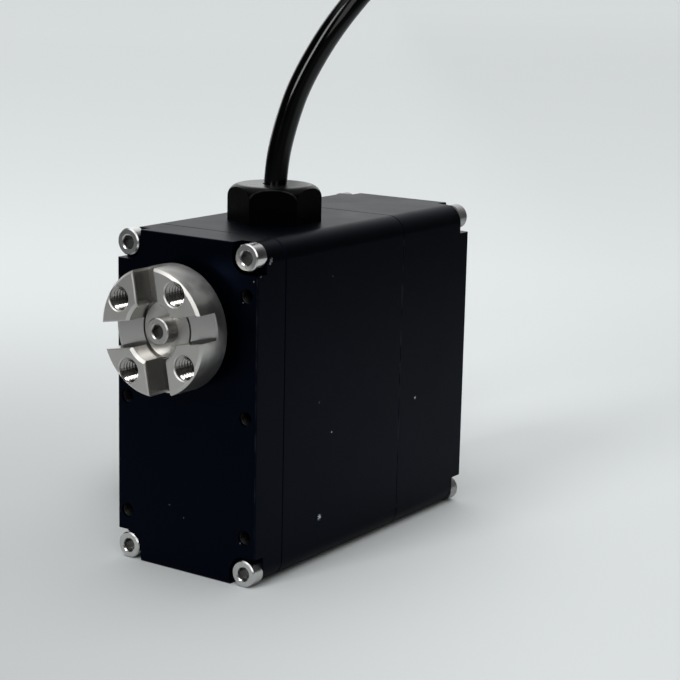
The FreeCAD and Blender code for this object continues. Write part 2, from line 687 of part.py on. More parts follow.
def four_times(body, name, feature, sketch):
    """Repeats a feature at quarter turns about a sketch's normal."""
    pattern = body.newObject("PartDesign::PolarPattern", name)
    pattern.Originals = [feature]
    pattern.Axis = (sketch, ["N_Axis"])
    pattern.Angle = 360
    pattern.Occurrences = 4
    body.Tip = pattern
    return pattern


def edge_names(shape, wanted):
    """Names of the edges that a test picks."""
    return ["Edge%d" % i for i, e in enumerate(shape.Edges, start=1) if wanted(e)]


def lies_at(edge, level):
    """True for an edge that lies in the plane Y = level."""
    return abs(edge.BoundBox.YMin - level) < 1e-4 and abs(edge.BoundBox.YMax - level) < 1e-4


def shell(name, level, length, seams, rim_level=None):
    """Starts a housing shell: the rounded outline, its eased seams and its softened end face."""
    body = new_body(name)
    outline = face_sketch(body, name + "_outline", level)
    draw_rounded(outline, "body_w", "body_h", "edge_r")
    block = pad(body, name + "_block", outline, length)
    DOC.recompute()
    ease = body.newObject("PartDesign::Chamfer", name + "_ease")
    ease.Base = (block, edge_names(block.Shape, lambda e: any(lies_at(e, size(s)) for s in seams)))
    bind(ease, "Size", "seam_ease")
    body.Tip = ease
    DOC.recompute()
    if rim_level:
        rim = body.newObject("PartDesign::Fillet", name + "_rim")
        rim.Base = (ease, edge_names(ease.Shape, lambda e: lies_at(e, size(rim_level))))
        bind(rim, "Radius", "rim_r")
        body.Tip = rim
        DOC.recompute()
    return body, outline


def corner_feature(body, name, level):
    """Sketch with its origin on the upper right screw axis."""
    return face_sketch(body, name, level, "screw_x", "mid_z + screw_up")


def groove(body, name, level, forward):
    """Cuts the seal groove into a seam face."""
    ring = face_sketch(body, name + "_ring", level)
    draw_rounded(ring, "groove_out_w", "groove_out_h", "groove_out_r")
    draw_rounded(ring, "groove_in_w", "groove_in_h", "groove_in_r")
    return pocket(body, name, ring, "groove_deep", forward)


def round_pocket(body, name, radius, level, up, length=None, across="0", forward=False):
    """Round pocket on an axis along Y."""
    sketch = face_sketch(body, name + "_circle", level, across, up)
    draw_circle(sketch, radius)
    return pocket(body, name, sketch, length, forward)


# Front cover: shaft bore, seal and bearing pockets, seal groove, tapped face holes
cover, cover_outline = shell("FrontCover", "front_y", "cover_t", ["seam_front"], "front_y")
notch_sketch = corner_feature(cover, "CoverNotchShape", "front_y")
draw_notch(notch_sketch)
cover_notch = pocket(cover, "CoverNotch", notch_sketch, "notch_deep")
hole_sketch = corner_feature(cover, "CoverScrewCircle", "front_y")
draw_circle(hole_sketch, "screw_clear")
cover_hole = pocket(cover, "CoverScrewHole", hole_sketch)
mirror_features(cover, "CoverCorners", [cover_notch, cover_hole], cover_outline, ["V_Axis", "H_Axis"])
round_pocket(cover, "CoverLip", "lip_r", "front_y", "shaft_z")
round_pocket(cover, "CoverSealPocket", "lipseal_r", "seam_front", "shaft_z", "seal_pocket", forward=True)
round_pocket(cover, "CoverBearingPocket", "bear_r", "seam_front", "shaft_z", "bear_w", forward=True)
groove(cover, "CoverGroove", "seam_front", True)
round_pocket(cover, "LongPinSeat", "pin_r", "seam_front", "axle_z", "pin_seat", forward=True)
round_pocket(cover, "ShortPinSeat", "pin_r", "seam_front", "second_z", "pin_seat", forward=True)
post_tap = round_pocket(
    cover, "PlateScrewTap", "small_r", "seam_front", "mid_z + post_up", "plate_bite", "post_x", True)
mirror_features(cover, "PlateScrewTaps", [post_tap], cover_outline, ["V_Axis", "H_Axis"])
face_hole = round_pocket(
    cover, "FaceHole", "face_r", "front_y", "mid_z - face_pitch", "face_deep", "face_x")
face_rows = cover.newObject("PartDesign::MultiTransform", "FaceHoles")
face_rows.Originals = [face_hole]
face_column = cover.newObject("PartDesign::LinearPattern", "FaceColumn")
face_column.Direction = (cover_outline, ["V_Axis"])
bind(face_column, "Length", "face_span")
face_column.Occurrences = 3
face_mirror = cover.newObject("PartDesign::Mirrored", "FaceMirror")
face_mirror.MirrorPlane = (cover_outline, ["V_Axis"])
face_rows.Transformations = [face_column, face_mirror]
cover.Tip = face_rows
node(cover, "front_cover")

# Main housing: open tube with tapped corners and the gland hole in its top wall
housing, housing_outline = shell("MainHousing", "seam_front", "mid_d", ["seam_front", "seam_rear"])
cavity = face_sketch(housing, "HousingCavityShape", "seam_front")
draw_rounded(cavity, "cav_w", "cav_h", "cav_r")
pocket(housing, "HousingCavity", cavity)
front_tap_sketch = corner_feature(housing, "FrontTapCircle", "seam_front")
draw_circle(front_tap_sketch, "screw_r")
front_tap = pocket(housing, "FrontTap", front_tap_sketch, "front_tap")
rear_tap_sketch = corner_feature(housing, "RearTapCircle", "seam_rear")
draw_circle(rear_tap_sketch, "screw_r")
rear_tap = pocket(housing, "RearTap", rear_tap_sketch, "rear_tap", True)
mirror_features(housing, "HousingTaps", [front_tap, rear_tap], housing_outline, ["V_Axis", "H_Axis"])
gland_seat = new_sketch(housing, "GlandCircle", "XY_Plane", "0", "gland_y", "body_h")
gland_ring = gland_seat.addGeometry(
    Part.Circle(Vector(), Vector(0, 0, 1), size("thread_r") + size("thread_gap")), False)
gland_seat.addConstraint(Sketcher.Constraint("Coincident", gland_ring, 3, -1, 1))
gland_limit = gland_seat.addConstraint(
    Sketcher.Constraint("Radius", gland_ring, size("thread_r") + size("thread_gap")))
bind(gland_seat, "Constraints[%d]" % gland_limit, "thread_r + thread_gap")
pocket(housing, "GlandHole", gland_seat, "2 * wall_top")
node(housing, "main_housing")

# Rear cover: deep cap with board bosses and long screw holes
rear, rear_outline = shell("RearCover", "seam_rear", "rear_d", ["seam_rear"], "rear_y")
rear_cavity = face_sketch(rear, "RearCavityShape", "seam_rear")
draw_rounded(rear_cavity, "cav_w", "cav_h", "cav_r")
pocket(rear, "RearCavity", rear_cavity, "rear_cav")
rear_notch_sketch = corner_feature(rear, "RearNotchShape", "rear_y")
draw_notch(rear_notch_sketch)
rear_notch = pocket(rear, "RearNotch", rear_notch_sketch, "rear_notch", True)
rear_hole_sketch = corner_feature(rear, "RearScrewCircle", "seam_rear")
draw_circle(rear_hole_sketch, "screw_clear")
rear_hole = pocket(rear, "RearScrewHole", rear_hole_sketch)
mirror_features(rear, "RearCorners", [rear_notch, rear_hole], rear_outline, ["V_Axis", "H_Axis"])
groove(rear, "RearGroove", "seam_rear", False)
boss_sketch = face_sketch(rear, "BossCircle", "rear_floor", "boss_x", "mid_z + boss_up")
draw_circle(boss_sketch, "boss_r")
boss = pad(rear, "Boss", boss_sketch, "boss_len", False)
boss_tap = round_pocket(
    rear, "BossTap", "small_r", "board_back", "mid_z + boss_up", "boss_tap", "boss_x")
mirror_features(rear, "Bosses", [boss, boss_tap], rear_outline, ["V_Axis", "H_Axis"])
node(rear, "rear_cover")


def cover_seal(name, level, rearward):
    """Clamped seal cord that fills its groove from the floor to the seam."""
    body = new_body(name)
    ring = face_sketch(body, name + "_ring", level)
    draw_rounded(ring, "seal_out_w", "seal_out_h", "seal_out_r")
    draw_rounded(ring, "seal_in_w", "seal_in_h", "seal_in_r")
    cord = pad(body, name + "_cord", ring, "groove_deep", rearward)
    DOC.recompute()
    soft = body.newObject("PartDesign::Fillet", name + "_soft")
    soft.Base = (cord, edge_names(cord.Shape, lambda e: e.BoundBox.YLength < 1e-4))
    bind(soft, "Radius", "cord_edge")
    body.Tip = soft
    return body


node(cover_seal("FrontCoverSeal", "seam_front", False), "front_cover_seal")
node(cover_seal("RearCoverSeal", "seam_rear", True), "rear_cover_seal")


def socket_screw(name, at_x, seat, at_z, grip, rearward):
    """M2.5 socket screw whose head sits on a seat and whose shank runs along Y."""
    shank_y = seat if rearward else "(%s) - %s" % (seat, grip)
    head_y = "(%s) - head_len" % seat if rearward else seat
    face = head_y if rearward else "(%s) + head_len - hex_deep" % seat
    shank = cylinder(name + "_shank", "screw_r", grip, (at_x, shank_y, at_z))
    head = cylinder(name + "_head", "head_r", "head_len", (at_x, head_y, at_z))
    DOC.recompute()
    outer = head.Shape.BoundBox.YMin if rearward else head.Shape.BoundBox.YMax
    eased = soften(name + "_eased", head, size("head_edge"), lambda e: lies_at(e, outer), "Part::Chamfer")
    hexagon = prism(name + "_hex", "hex_r", "hex_deep", (at_x, face, at_z))
    mouth_y = head_y if rearward else "(%s) + head_len - mouth_deep" % seat
    ends = ("mouth_r", "hex_flat") if rearward else ("hex_flat", "mouth_r")
    mouth = cone(name + "_mouth", *ends, "mouth_deep", (at_x, mouth_y, at_z))
    return cut(name, fuse(name + "_solid", [shank, eased]), [hexagon, mouth])


front_screw = socket_screw(
    "FrontScrew", "screw_x", "front_y + notch_deep", "mid_z + screw_up", "front_grip", True)
node(four_corners("FrontScrews", front_screw), "front_cover_screws")
rear_screw = socket_screw(
    "RearScrew", "screw_x", "rear_y - rear_notch", "mid_z + screw_up", "rear_grip", False)
node(four_corners("RearScrews", rear_screw), "rear_cover_screws")

# Horn: disc with a cross slot, four tapped sectors and a keyed hub, turned to its rest angle
horn = new_body("OutputHorn")
disc_sketch = new_sketch(horn, "HornDisc", out="-horn_front")
draw_circle(disc_sketch, "horn_r")
disc = pad(horn, "HornPad", disc_sketch, "horn_t")
slot_sketch = new_sketch(horn, "HornCross", out="-horn_front")
cross_reach = size("slot_reach")
half_slot = size("half_slot")
cross = [
    (half_slot, cross_reach), (-half_slot, cross_reach), (-half_slot, half_slot),
    (-cross_reach, half_slot), (-cross_reach, -half_slot), (-half_slot, -half_slot),
    (-half_slot, -cross_reach), (half_slot, -cross_reach), (half_slot, -half_slot),
    (cross_reach, -half_slot), (cross_reach, half_slot), (half_slot, half_slot),
]
for here, there in zip(cross, cross[1:] + cross[:1]):
    slot_sketch.addGeometry(Part.LineSegment(Vector(*here, 0), Vector(*there, 0)), False)
for i in range(12):
    slot_sketch.addConstraint(Sketcher.Constraint("Coincident", i, 2, (i + 1) % 12, 1))
    slot_sketch.addConstraint(Sketcher.Constraint("Horizontal" if i % 2 == 0 else "Vertical", i))
for i, j in ((2, 8), (5, 11)):
    slot_sketch.addConstraint(Sketcher.Constraint("Symmetric", i, 1, j, 1, -1, 1))
for limit, alias in (
        (Sketcher.Constraint("DistanceX", 2, 1, 11, 1, 2 * half_slot), "slot_w"),
        (Sketcher.Constraint("DistanceY", 5, 1, 2, 1, 2 * half_slot), "slot_w"),
        (Sketcher.Constraint("DistanceX", -1, 1, 9, 1, cross_reach), "slot_reach"),
        (Sketcher.Constraint("DistanceX", 3, 1, -1, 1, cross_reach), "slot_reach"),
        (Sketcher.Constraint("DistanceY", -1, 1, 0, 1, cross_reach), "slot_reach"),
        (Sketcher.Constraint("DistanceY", 6, 1, -1, 1, cross_reach), "slot_reach")):
    position = slot_sketch.addConstraint(limit)
    bind(slot_sketch, "Constraints[%d]" % position, alias)
pocket(horn, "HornSlots", slot_sketch, "slot_deep")
bore_sketch = new_sketch(horn, "HornClampCircle", out="-horn_front")
draw_circle(bore_sketch, "clamp_bore")
horn_bore = pocket(horn, "HornClampBore", bore_sketch, "clamp_deep")
DOC.recompute()
horn_ease = horn.newObject("PartDesign::Chamfer", "HornEdges")
horn_ease.Base = (horn_bore, edge_names(
    horn_bore.Shape, lambda e: lies_at(e, size("horn_front")) and e.Curve.TypeId == "Part::GeomCircle"))
bind(horn_ease, "Size", "horn_edge")
horn.Tip = horn_ease
DOC.recompute()
slot_ease = horn.newObject("PartDesign::Chamfer", "HornSlotEdges")
slot_ease.Base = (horn_ease, edge_names(
    horn_ease.Shape, lambda e: lies_at(e, size("horn_front")) and e.Curve.TypeId == "Part::GeomLine"))
bind(slot_ease, "Size", "slot_edge")
horn.Tip = slot_ease
DOC.recompute()
hub_sketch = new_sketch(horn, "HornHubCircle", out="-horn_back")
draw_circle(hub_sketch, "hub_r")
pad(horn, "HornHub", hub_sketch, "hub_len")
key_sketch = new_sketch(horn, "HornKeyShape", out="-hub_y")
key_r, key_flat = size("key_r"), size("key_flat")
key_half = math.sqrt(key_r ** 2 - key_flat ** 2)
key_angle = math.atan2(key_half, key_flat)
key_circle = Part.Circle(Vector(), Vector(0, 0, 1), key_r)
key_corner = Vector(key_flat, key_half, 0)
key_below = Vector(key_flat, -key_half, 0)
key_sketch.addGeometry(Part.LineSegment(key_below, key_corner), False)
key_sketch.addGeometry(Part.ArcOfCircle(key_circle, key_angle, math.pi - key_angle), False)
key_sketch.addGeometry(Part.LineSegment(-key_below, -key_corner), False)
key_sketch.addGeometry(Part.ArcOfCircle(key_circle, math.pi + key_angle, -key_angle), False)
for i in range(4):
    key_sketch.addConstraint(Sketcher.Constraint("Coincident", i, 2, (i + 1) % 4, 1))
key_sketch.addConstraint(Sketcher.Constraint("Vertical", 0))
key_sketch.addConstraint(Sketcher.Constraint("Vertical", 2))
key_sketch.addConstraint(Sketcher.Constraint("Coincident", 1, 3, -1, 1))
key_sketch.addConstraint(Sketcher.Constraint("Coincident", 3, 3, -1, 1))
key_sketch.addConstraint(Sketcher.Constraint("Equal", 1, 3))
for limit, text in (
        (Sketcher.Constraint("Radius", 1, key_r), "key_r"),
        (Sketcher.Constraint("DistanceX", -1, 1, 0, 1, key_flat), "key_flat"),
        (Sketcher.Constraint("DistanceX", 2, 1, -1, 1, key_flat), "key_flat")):
    position = key_sketch.addConstraint(limit)
    bind(key_sketch, "Constraints[%d]" % position, text)
pocket(horn, "HornKeyway", key_sketch, None, True)
horn_hole_sketch = new_sketch(horn, "HornHoleCircle", "XZ_Plane", "horn_pcd_r * cos(45 deg)",
                              "horn_pcd_r * sin(45 deg)", "-horn_front")
draw_circle(horn_hole_sketch, "horn_hole_r")
horn_hole = pocket(horn, "HornHole", horn_hole_sketch, "horn_t + horn_gap")
four_times(horn, "HornHoles", horn_hole, disc_sketch)
horn_sink = horn.newObject("PartDesign::SubtractiveCone", "HornSink")
horn_sink.AttachmentSupport = horn_hole_sketch.AttachmentSupport
horn_sink.MapMode = "FlatFace"
bind(horn_sink, "AttachmentOffset.Base.x", "horn_pcd_r * cos(45 deg)")
bind(horn_sink, "AttachmentOffset.Base.y", "horn_pcd_r * sin(45 deg)")
bind(horn_sink, "AttachmentOffset.Base.z", "-horn_front - (horn_sink_r - horn_hole_r)")
bind(horn_sink, "Radius1", "horn_hole_r")
bind(horn_sink, "Radius2", "horn_sink_r")
bind(horn_sink, "Height", "horn_sink_r - horn_hole_r")
horn.Tip = horn_sink
four_times(horn, "HornSinks", horn_sink, disc_sketch)
horn.Placement = Placement(Vector(), Rotation(Vector(0, -1, 0), size("horn_angle")))
bind(horn, "Placement.Base.z", "shaft_z")
bind(horn, "Placement.Rotation.Angle", "horn_angle")
node(horn, "output_horn")

ON_SHAFT = ("0", "shaft_z")


def on_shaft(level):
    """Point on the output axis."""
    return (ON_SHAFT[0], level, ON_SHAFT[1])


# Output shaft: keyed end, sealed journal, gear seat and tail
key_round = cylinder("ShaftKeyRound", "key_r", "hub_y - key_y", on_shaft("key_y"))
key_block = box("ShaftKeyBlock", ("2 * key_flat", "hub_y - key_y", "2 * key_r"), ("0", "0", "0"))
key_block.Placement = Placement(Vector(), Rotation(Vector(0, -1, 0), size("horn_angle")))
bind(key_block, "Placement.Rotation.Angle", "horn_angle")
bind(key_block, "Placement.Base.x", "-key_flat * cos(horn_angle * 1 deg) + key_r * sin(horn_angle * 1 deg)")
bind(key_block, "Placement.Base.y", "key_y")
bind(key_block, "Placement.Base.z",
     "shaft_z - key_flat * sin(horn_angle * 1 deg) - key_r * cos(horn_angle * 1 deg)")
shaft_key = common("ShaftKey", [key_round, key_block])
shaft_main = cylinder("ShaftMain", "shaft_r", "seam_front - hub_y", on_shaft("hub_y"))
shaft_seat = cylinder("ShaftSeat", "seat_r", "seat_end - seam_front", on_shaft("seam_front"))
shaft_tail = cylinder("ShaftTail", "tail_r", "tail_end - seat_end", on_shaft("seat_end"))
shaft_tap = cylinder("ShaftTap", "screw_r", "horn_bolt + tap_spare", on_shaft("key_y"))
shaft_all = fuse("ShaftSolid", [shaft_key, shaft_main, shaft_seat, shaft_tail])
node(cut("OutputShaft", shaft_all, [shaft_tap]), "output_shaft")

washer_disc = cylinder("WasherDisc", "clamp_r", "clamp_t", on_shaft("slot_floor"))
washer_hole = cylinder("WasherHole", "screw_clear", "clamp_t", on_shaft("slot_floor"))
node(cut("ClampWasher", washer_disc, [washer_hole]), "clamp_washer")
node(socket_screw("HornScrew", "0", "slot_floor", "shaft_z", "horn_bolt", True), "horn_screw")

seal_ring = cylinder("LipSealRing", "lipseal_r", "lipseal_w", on_shaft("seam_front - seal_pocket"))
seal_bore = cylinder("LipSealBore", "shaft_r + run_gap", "lipseal_w", on_shaft("seam_front - seal_pocket"))
seal_outer = cylinder("LipSealGrooveOuter", "lipseal_r - lip_shell", "lipseal_w", on_shaft("lip_y"))
seal_inner = cylinder("LipSealGrooveInner", "shaft_r + lip_thick", "lipseal_w", on_shaft("lip_y"))
seal_groove = cut("LipSealGroove", seal_outer, [seal_inner])
node(cut("ShaftSeal", seal_ring, [seal_bore, seal_groove]), "shaft_seal")


def ball_bearing(name, label, level, width, outer, inner, pitch, ball, land, count):
    """Outer ring, inner ring and balls of a deep-groove bearing on the output axis."""
    middle = "(%s) + (%s) / 2" % (level, width)
    outer_disc = cylinder(name + "OuterDisc", outer, width, on_shaft(level))
    outer_bore = cylinder(name + "OuterBore", "%s + %s" % (pitch, land), width, on_shaft(level))
    outer_race = torus(name + "OuterRace", pitch, "%s + race_gap" % ball, on_shaft(middle))
    node(cut(name + "Outer", outer_disc, [outer_bore, outer_race]), label + "_outer_ring")
    inner_disc = cylinder(name + "InnerDisc", "%s - %s" % (pitch, land), width, on_shaft(level))
    inner_bore = cylinder(name + "InnerBore", inner, width, on_shaft(level))
    inner_race = torus(name + "InnerRace", pitch, "%s + race_gap" % ball, on_shaft(middle))
    node(cut(name + "Inner", inner_disc, [inner_bore, inner_race]), label + "_inner_ring")
    balls = []
    for i in range(count):
        angle = 360.0 * i / count
        sphere = add("Part::Sphere", "%sBall%d" % (name, i))
        bind(sphere, "Radius", ball)
        across = "%s * cos(%.6f deg)" % (pitch, angle)
        height = "shaft_z + %s * sin(%.6f deg)" % (pitch, angle)
        balls.append(put(sphere, (across, middle, height)))
    node(group(name + "Balls", balls), label + "_balls")


ball_bearing("FrontBearing", "front_bearing", "seam_front - bear_w", "bear_w", "bear_r", "shaft_r",
             "bear_pitch", "bear_ball", "bear_land", FRONT_BALLS)
ball_bearing("RearBearing", "rear_bearing", "plate_y", "tail_bear_w", "tail_bear_r", "tail_r",
             "tail_pitch", "tail_ball", "tail_land", REAR_BALLS)


def involute(angle):
    """Involute function of an angle."""
    return math.tan(angle) - angle


def tooth_outline(teeth, module, addendum, phase):
    """Corner points of a spur gear in its own plane, one tooth on the phase angle."""
    pitch_r = module * teeth / 2
    base_r = pitch_r * math.cos(PRESSURE_ANGLE)
    root_r = pitch_r - DEDENDUM * module
    tip_r = pitch_r + addendum * module
    half_tooth = math.pi / (2 * teeth) - size("backlash") / (2 * pitch_r)
    start_r = max(base_r, root_r)

    def half_angle(radius):
        """Half tooth angle at a radius on the involute."""
        return half_tooth + involute(PRESSURE_ANGLE) - involute(math.acos(min(1.0, base_r / radius)))

    radii = [start_r + (tip_r - start_r) * i / FLANK_STEPS for i in range(FLANK_STEPS + 1)]
    flank = [(r, half_angle(r)) for r in radii]
    if root_r < base_r:
        flank.insert(0, (root_r, half_angle(base_r)))
    points = []
    for tooth in range(teeth):
        middle = phase + 2 * math.pi * tooth / teeth
        rising = [(r, middle - a) for r, a in flank]
        falling = [(r, middle + a) for r, a in reversed(flank)]
        points += [(r * math.cos(a), r * math.sin(a)) for r, a in rising + falling]
    return points


def toothed(name, teeth, module, addendum, phase, level, width, height):
    """Toothed disc: the tooth outline drawn once and extruded along Y."""
    outline = add("Part::Feature", name + "_outline")
    corners = [Vector(x, 0, z) for x, z in tooth_outline(int(size(teeth)), size(module), addendum, phase)]
    outline.Shape = Part.makePolygon(corners + corners[:1])
    put(outline, ("0", level, height))
    disc_of_teeth = add("Part::Extrusion", name)
    disc_of_teeth.Base = outline
    disc_of_teeth.DirMode = "Custom"
    disc_of_teeth.Dir = Vector(0, 1, 0)
    disc_of_teeth.Solid = True
    bind(disc_of_teeth, "LengthFwd", width)
    return disc_of_teeth


if abs(size("reach_mid") - size("reach_slow")) > 1e-6:
    raise ValueError("second and third stages share two axes, so their centre distances must agree")
UP = math.pi / 2
DOWN = -math.pi / 2
WHEEL_GAP = math.pi / size("wheel_teeth")
SLOW_GAP = math.pi / size("slow_teeth")

# Output wheel, keyed by its seat on the shaft
out_teeth = toothed("OutputTeeth", "slow_teeth", "module_slow", WHEEL_ADDENDUM, DOWN + SLOW_GAP,
                    "slow_y", "slow_w", "shaft_z")
out_hub = cylinder("OutputHub", "bear_pitch - bear_land", "cover_gap", on_shaft("seam_front"))
out_bore = cylinder("OutputBore", "seat_r", "slow_w + cover_gap", on_shaft("seam_front"))
node(cut("OutputGear", fuse("OutputGearSolid", [out_teeth, out_hub]), [out_bore]), "output_gear")


def on_pin(name, label, members, start, length, height):
    """Compound gear that runs free on its pin."""
    bore = cylinder(name + "Bore", "pin_r + run_gap", length, ("0", start, height))
    node(cut(name, fuse(name + "Solid", members), [bore]), label)


third_pinion = toothed("ThirdPinion", "pinion_teeth", "module_slow", PINION_ADDENDUM, UP,
                       "seam_front + level_gap", "third_y - seam_front - level_gap", "axle_z")
third_wheel = toothed("ThirdWheel", "slow_teeth", "module_slow", WHEEL_ADDENDUM, DOWN + SLOW_GAP,
                      "third_y", "third_w", "axle_z")
on_pin("ThirdGear", "third_reduction_gear", [third_pinion, third_wheel], "seam_front",
       "third_y + third_w - seam_front", "axle_z")
second_hub = cylinder("SecondHub", "gear_hub_r", "third_y - seam_front - level_gap",
                      ("0", "seam_front + level_gap", "second_z"))
second_pinion = toothed("SecondPinion", "pinion_teeth", "module_slow", PINION_ADDENDUM, UP,
                        "third_y", "second_y - third_y", "second_z")
second_wheel = toothed("SecondWheel", "wheel_teeth", "module_mid", WHEEL_ADDENDUM, UP + WHEEL_GAP,
                       "second_y", "second_w", "second_z")
on_pin("SecondGear", "second_reduction_gear", [second_hub, second_pinion, second_wheel], "seam_front",
       "second_y + second_w - seam_front", "second_z")
first_pinion = toothed("FirstPinion", "pinion_teeth", "module_mid", PINION_ADDENDUM, DOWN,
                       "second_y", "first_y - second_y", "axle_z")
first_wheel = toothed("FirstWheel", "wheel_teeth", "module_fast", WHEEL_ADDENDUM, DOWN + WHEEL_GAP,
                      "first_y", "first_w", "axle_z")
on_pin("FirstGear", "first_reduction_gear", [first_pinion, first_wheel], "second_y",
       "gear_end - second_y", "axle_z")
motor_teeth = toothed("MotorTeeth", "pinion_teeth", "module_fast", PINION_ADDENDUM, UP,
                      "first_y", "first_w", "motor_z")
motor_bore = cylinder("MotorPinionBore", "rotor_r", "first_w", ("0", "first_y", "motor_z"))
node(cut("MotorPinion", motor_teeth, [motor_bore]), "motor_pinion")
node(cylinder("LongPin", "pin_r", "plate_back - seam_front + pin_seat",
              ("0", "seam_front - pin_seat", "axle_z")), "long_gear_pin")
node(cylinder("ShortPin", "pin_r", "second_y + second_w - seam_front + pin_seat",
              ("0", "seam_front - pin_seat", "second_z")), "short_gear_pin")

# Gear plate: bearing seat, pin and motor holes, encoder posts, notch for the gland nut
plate = new_body("GearPlate")
plate_sketch = face_sketch(plate, "PlateOutline", "plate_y")
draw_rounded(plate_sketch, "plate_w", "plate_h", "plate_r")
pad(plate, "PlatePad", plate_sketch, "plate_t")
round_pocket(plate, "PlateBearing", "tail_bear_r", "plate_y", "shaft_z", "tail_bear_w")
round_pocket(plate, "PlateTail", "pole_r", "plate_y", "shaft_z")
round_pocket(plate, "PlatePin", "pin_r", "plate_y", "axle_z")
round_pocket(plate, "PlateBush", "bush_r", "plate_y", "motor_z")
motor_clear = round_pocket(plate, "PlateMotorHole", "small_clear", "plate_y", "motor_z", None, "motor_bolt_x")
mirror_features(plate, "PlateMotorHoles", [motor_clear], plate_sketch, ["V_Axis"])
plate_clear = round_pocket(
    plate, "PlateScrewHole", "small_clear", "plate_y", "mid_z + post_up", None, "post_x")
mirror_features(plate, "PlateScrewHoles", [plate_clear], plate_sketch, ["V_Axis", "H_Axis"])
post_sketch = face_sketch(plate, "EncoderPostCircle", "plate_back", "enc_post_x", "enc_post_z")
draw_circle(post_sketch, "enc_post_r")
enc_post = pad(plate, "EncoderPost", post_sketch, "enc_y - plate_back")
enc_tap = round_pocket(plate, "EncoderTap", "tiny_r", "enc_y", "enc_post_z", "enc_tap", "enc_post_x", True)
mirror_features(plate, "EncoderPosts", [enc_post, enc_tap], plate_sketch, ["V_Axis"])
nut_room = box("NutRoom", ("nut_room_w", "plate_t", "body_h - nut_room_z"),
               ("-nut_room_w / 2", "plate_y", "nut_room_z"))
sinks = []
for side, sign in (("Right", ""), ("Left", "-")):
    sinks.append(cone("MotorSink" + side, "small_head_r", "small_clear", "small_head_r - small_clear",
                      (sign + "motor_bolt_x", "plate_y", "motor_z")))
node(cut("GearPlateNotched", plate, [nut_room] + sinks), "gear_plate")

standoff_foot = ("post_x", "seam_front", "mid_z + post_up")
standoff_rod = cylinder("StandoffRod", "post_r", "post_len", standoff_foot)
standoff_bore = cylinder("StandoffBore", "small_clear", "post_len", standoff_foot)
node(four_corners("Standoffs", cut("Standoff", standoff_rod, [standoff_bore])), "plate_standoffs")


def small_screw(name, radius, head, head_h, grip, seat, across, height):
    """Small pan-head screw whose shank points to the front."""
    shank = cylinder(name + "_shank", radius, grip, (across, "(%s) - (%s)" % (seat, grip), height))
    cap = cylinder(name + "_cap", head, head_h, (across, seat, height))
    recess = prism(name + "_recess", "%s / 2" % head, "%s / 2" % head_h,
                   (across, "(%s) + %s / 2" % (seat, head_h), height))
    return cut(name, fuse(name + "_solid", [shank, cap]), [recess])


plate_grip = "plate_t + post_len + plate_bite - screw_short"
plate_screw = small_screw(
    "PlateScrew", "small_r", "pan_r", "small_head", plate_grip, "plate_back", "post_x", "mid_z + post_up")
node(four_corners("PlateScrews", plate_screw), "plate_screws")

ON_MOTOR = "motor_z"


def on_motor(level):
    """Point on the motor axis."""
    return ("0", level, ON_MOTOR)


# Motor: can, magnets, armature on its shaft, brushes in the end cap
can_outer = cylinder("CanOuter", "can_r", "can_len", on_motor("can_y"))
can_inner = cylinder("CanInner", "bore_r", "can_len", on_motor("can_y + can_wall"))
can_eye = cylinder("CanEye", "bush_r", "can_wall", on_motor("can_y"))
can_taps = [cylinder("CanTap" + side, "small_r", "can_wall", (sign + "motor_bolt_x", "can_y", "motor_z"))
            for side, sign in (("Right", ""), ("Left", "-"))]
node(cut("MotorCan", can_outer, [can_inner, can_eye] + can_taps), "motor_can")
bush_span = "bush_len + can_wall + bush_tail"
bush_rod = cylinder("BushRod", "bush_r", bush_span, on_motor("can_y - bush_len"))
bush_bore = cylinder("BushBore", "rotor_r + run_gap", bush_span, on_motor("can_y - bush_len"))
node(cut("MotorBush", bush_rod, [bush_bore]), "motor_front_bush")
node(cylinder("MotorShaft", "rotor_r", "cap_end - rotor_short - first_y", on_motor("first_y")), "motor_shaft")
core = cylinder("Core", "arm_r", "arm_len", on_motor("arm_y"))
core_bore = cylinder("CoreBore", "rotor_r", "arm_len", on_motor("arm_y"))
core_slots = []
for third in range(3):
    slot_sides = ("arm_slot", "arm_len", "arm_slot_deep + can_wall")
    slot = box("CoreSlot%d" % third, slot_sides, on_motor("arm_y"))
    slot.Placement = Placement(Vector(), Rotation(Vector(0, 1, 0), 120 * third))
    turn = 120 * third
    bind(slot, "Placement.Base.x", "-arm_slot / 2 * cos(%d deg) + (arm_r - arm_slot_deep) * sin(%d deg)" % (
        turn, turn))
    bind(slot, "Placement.Base.y", "arm_y")
    bind(slot, "Placement.Base.z",
         "motor_z + arm_slot / 2 * sin(%d deg) + (arm_r - arm_slot_deep) * cos(%d deg)" % (turn, turn))
    core_slots.append(slot)
node(cut("Armature", core, [core_bore] + core_slots), "motor_armature")


def winding(name, level):
    """End turns of the armature winding as a soft ring."""
    ring = cylinder(name + "Ring", "coil_r", "coil_len", on_motor(level))
    eye = cylinder(name + "Eye", "coil_eye", "coil_len", on_motor(level))
    return cut(name, ring, [eye])


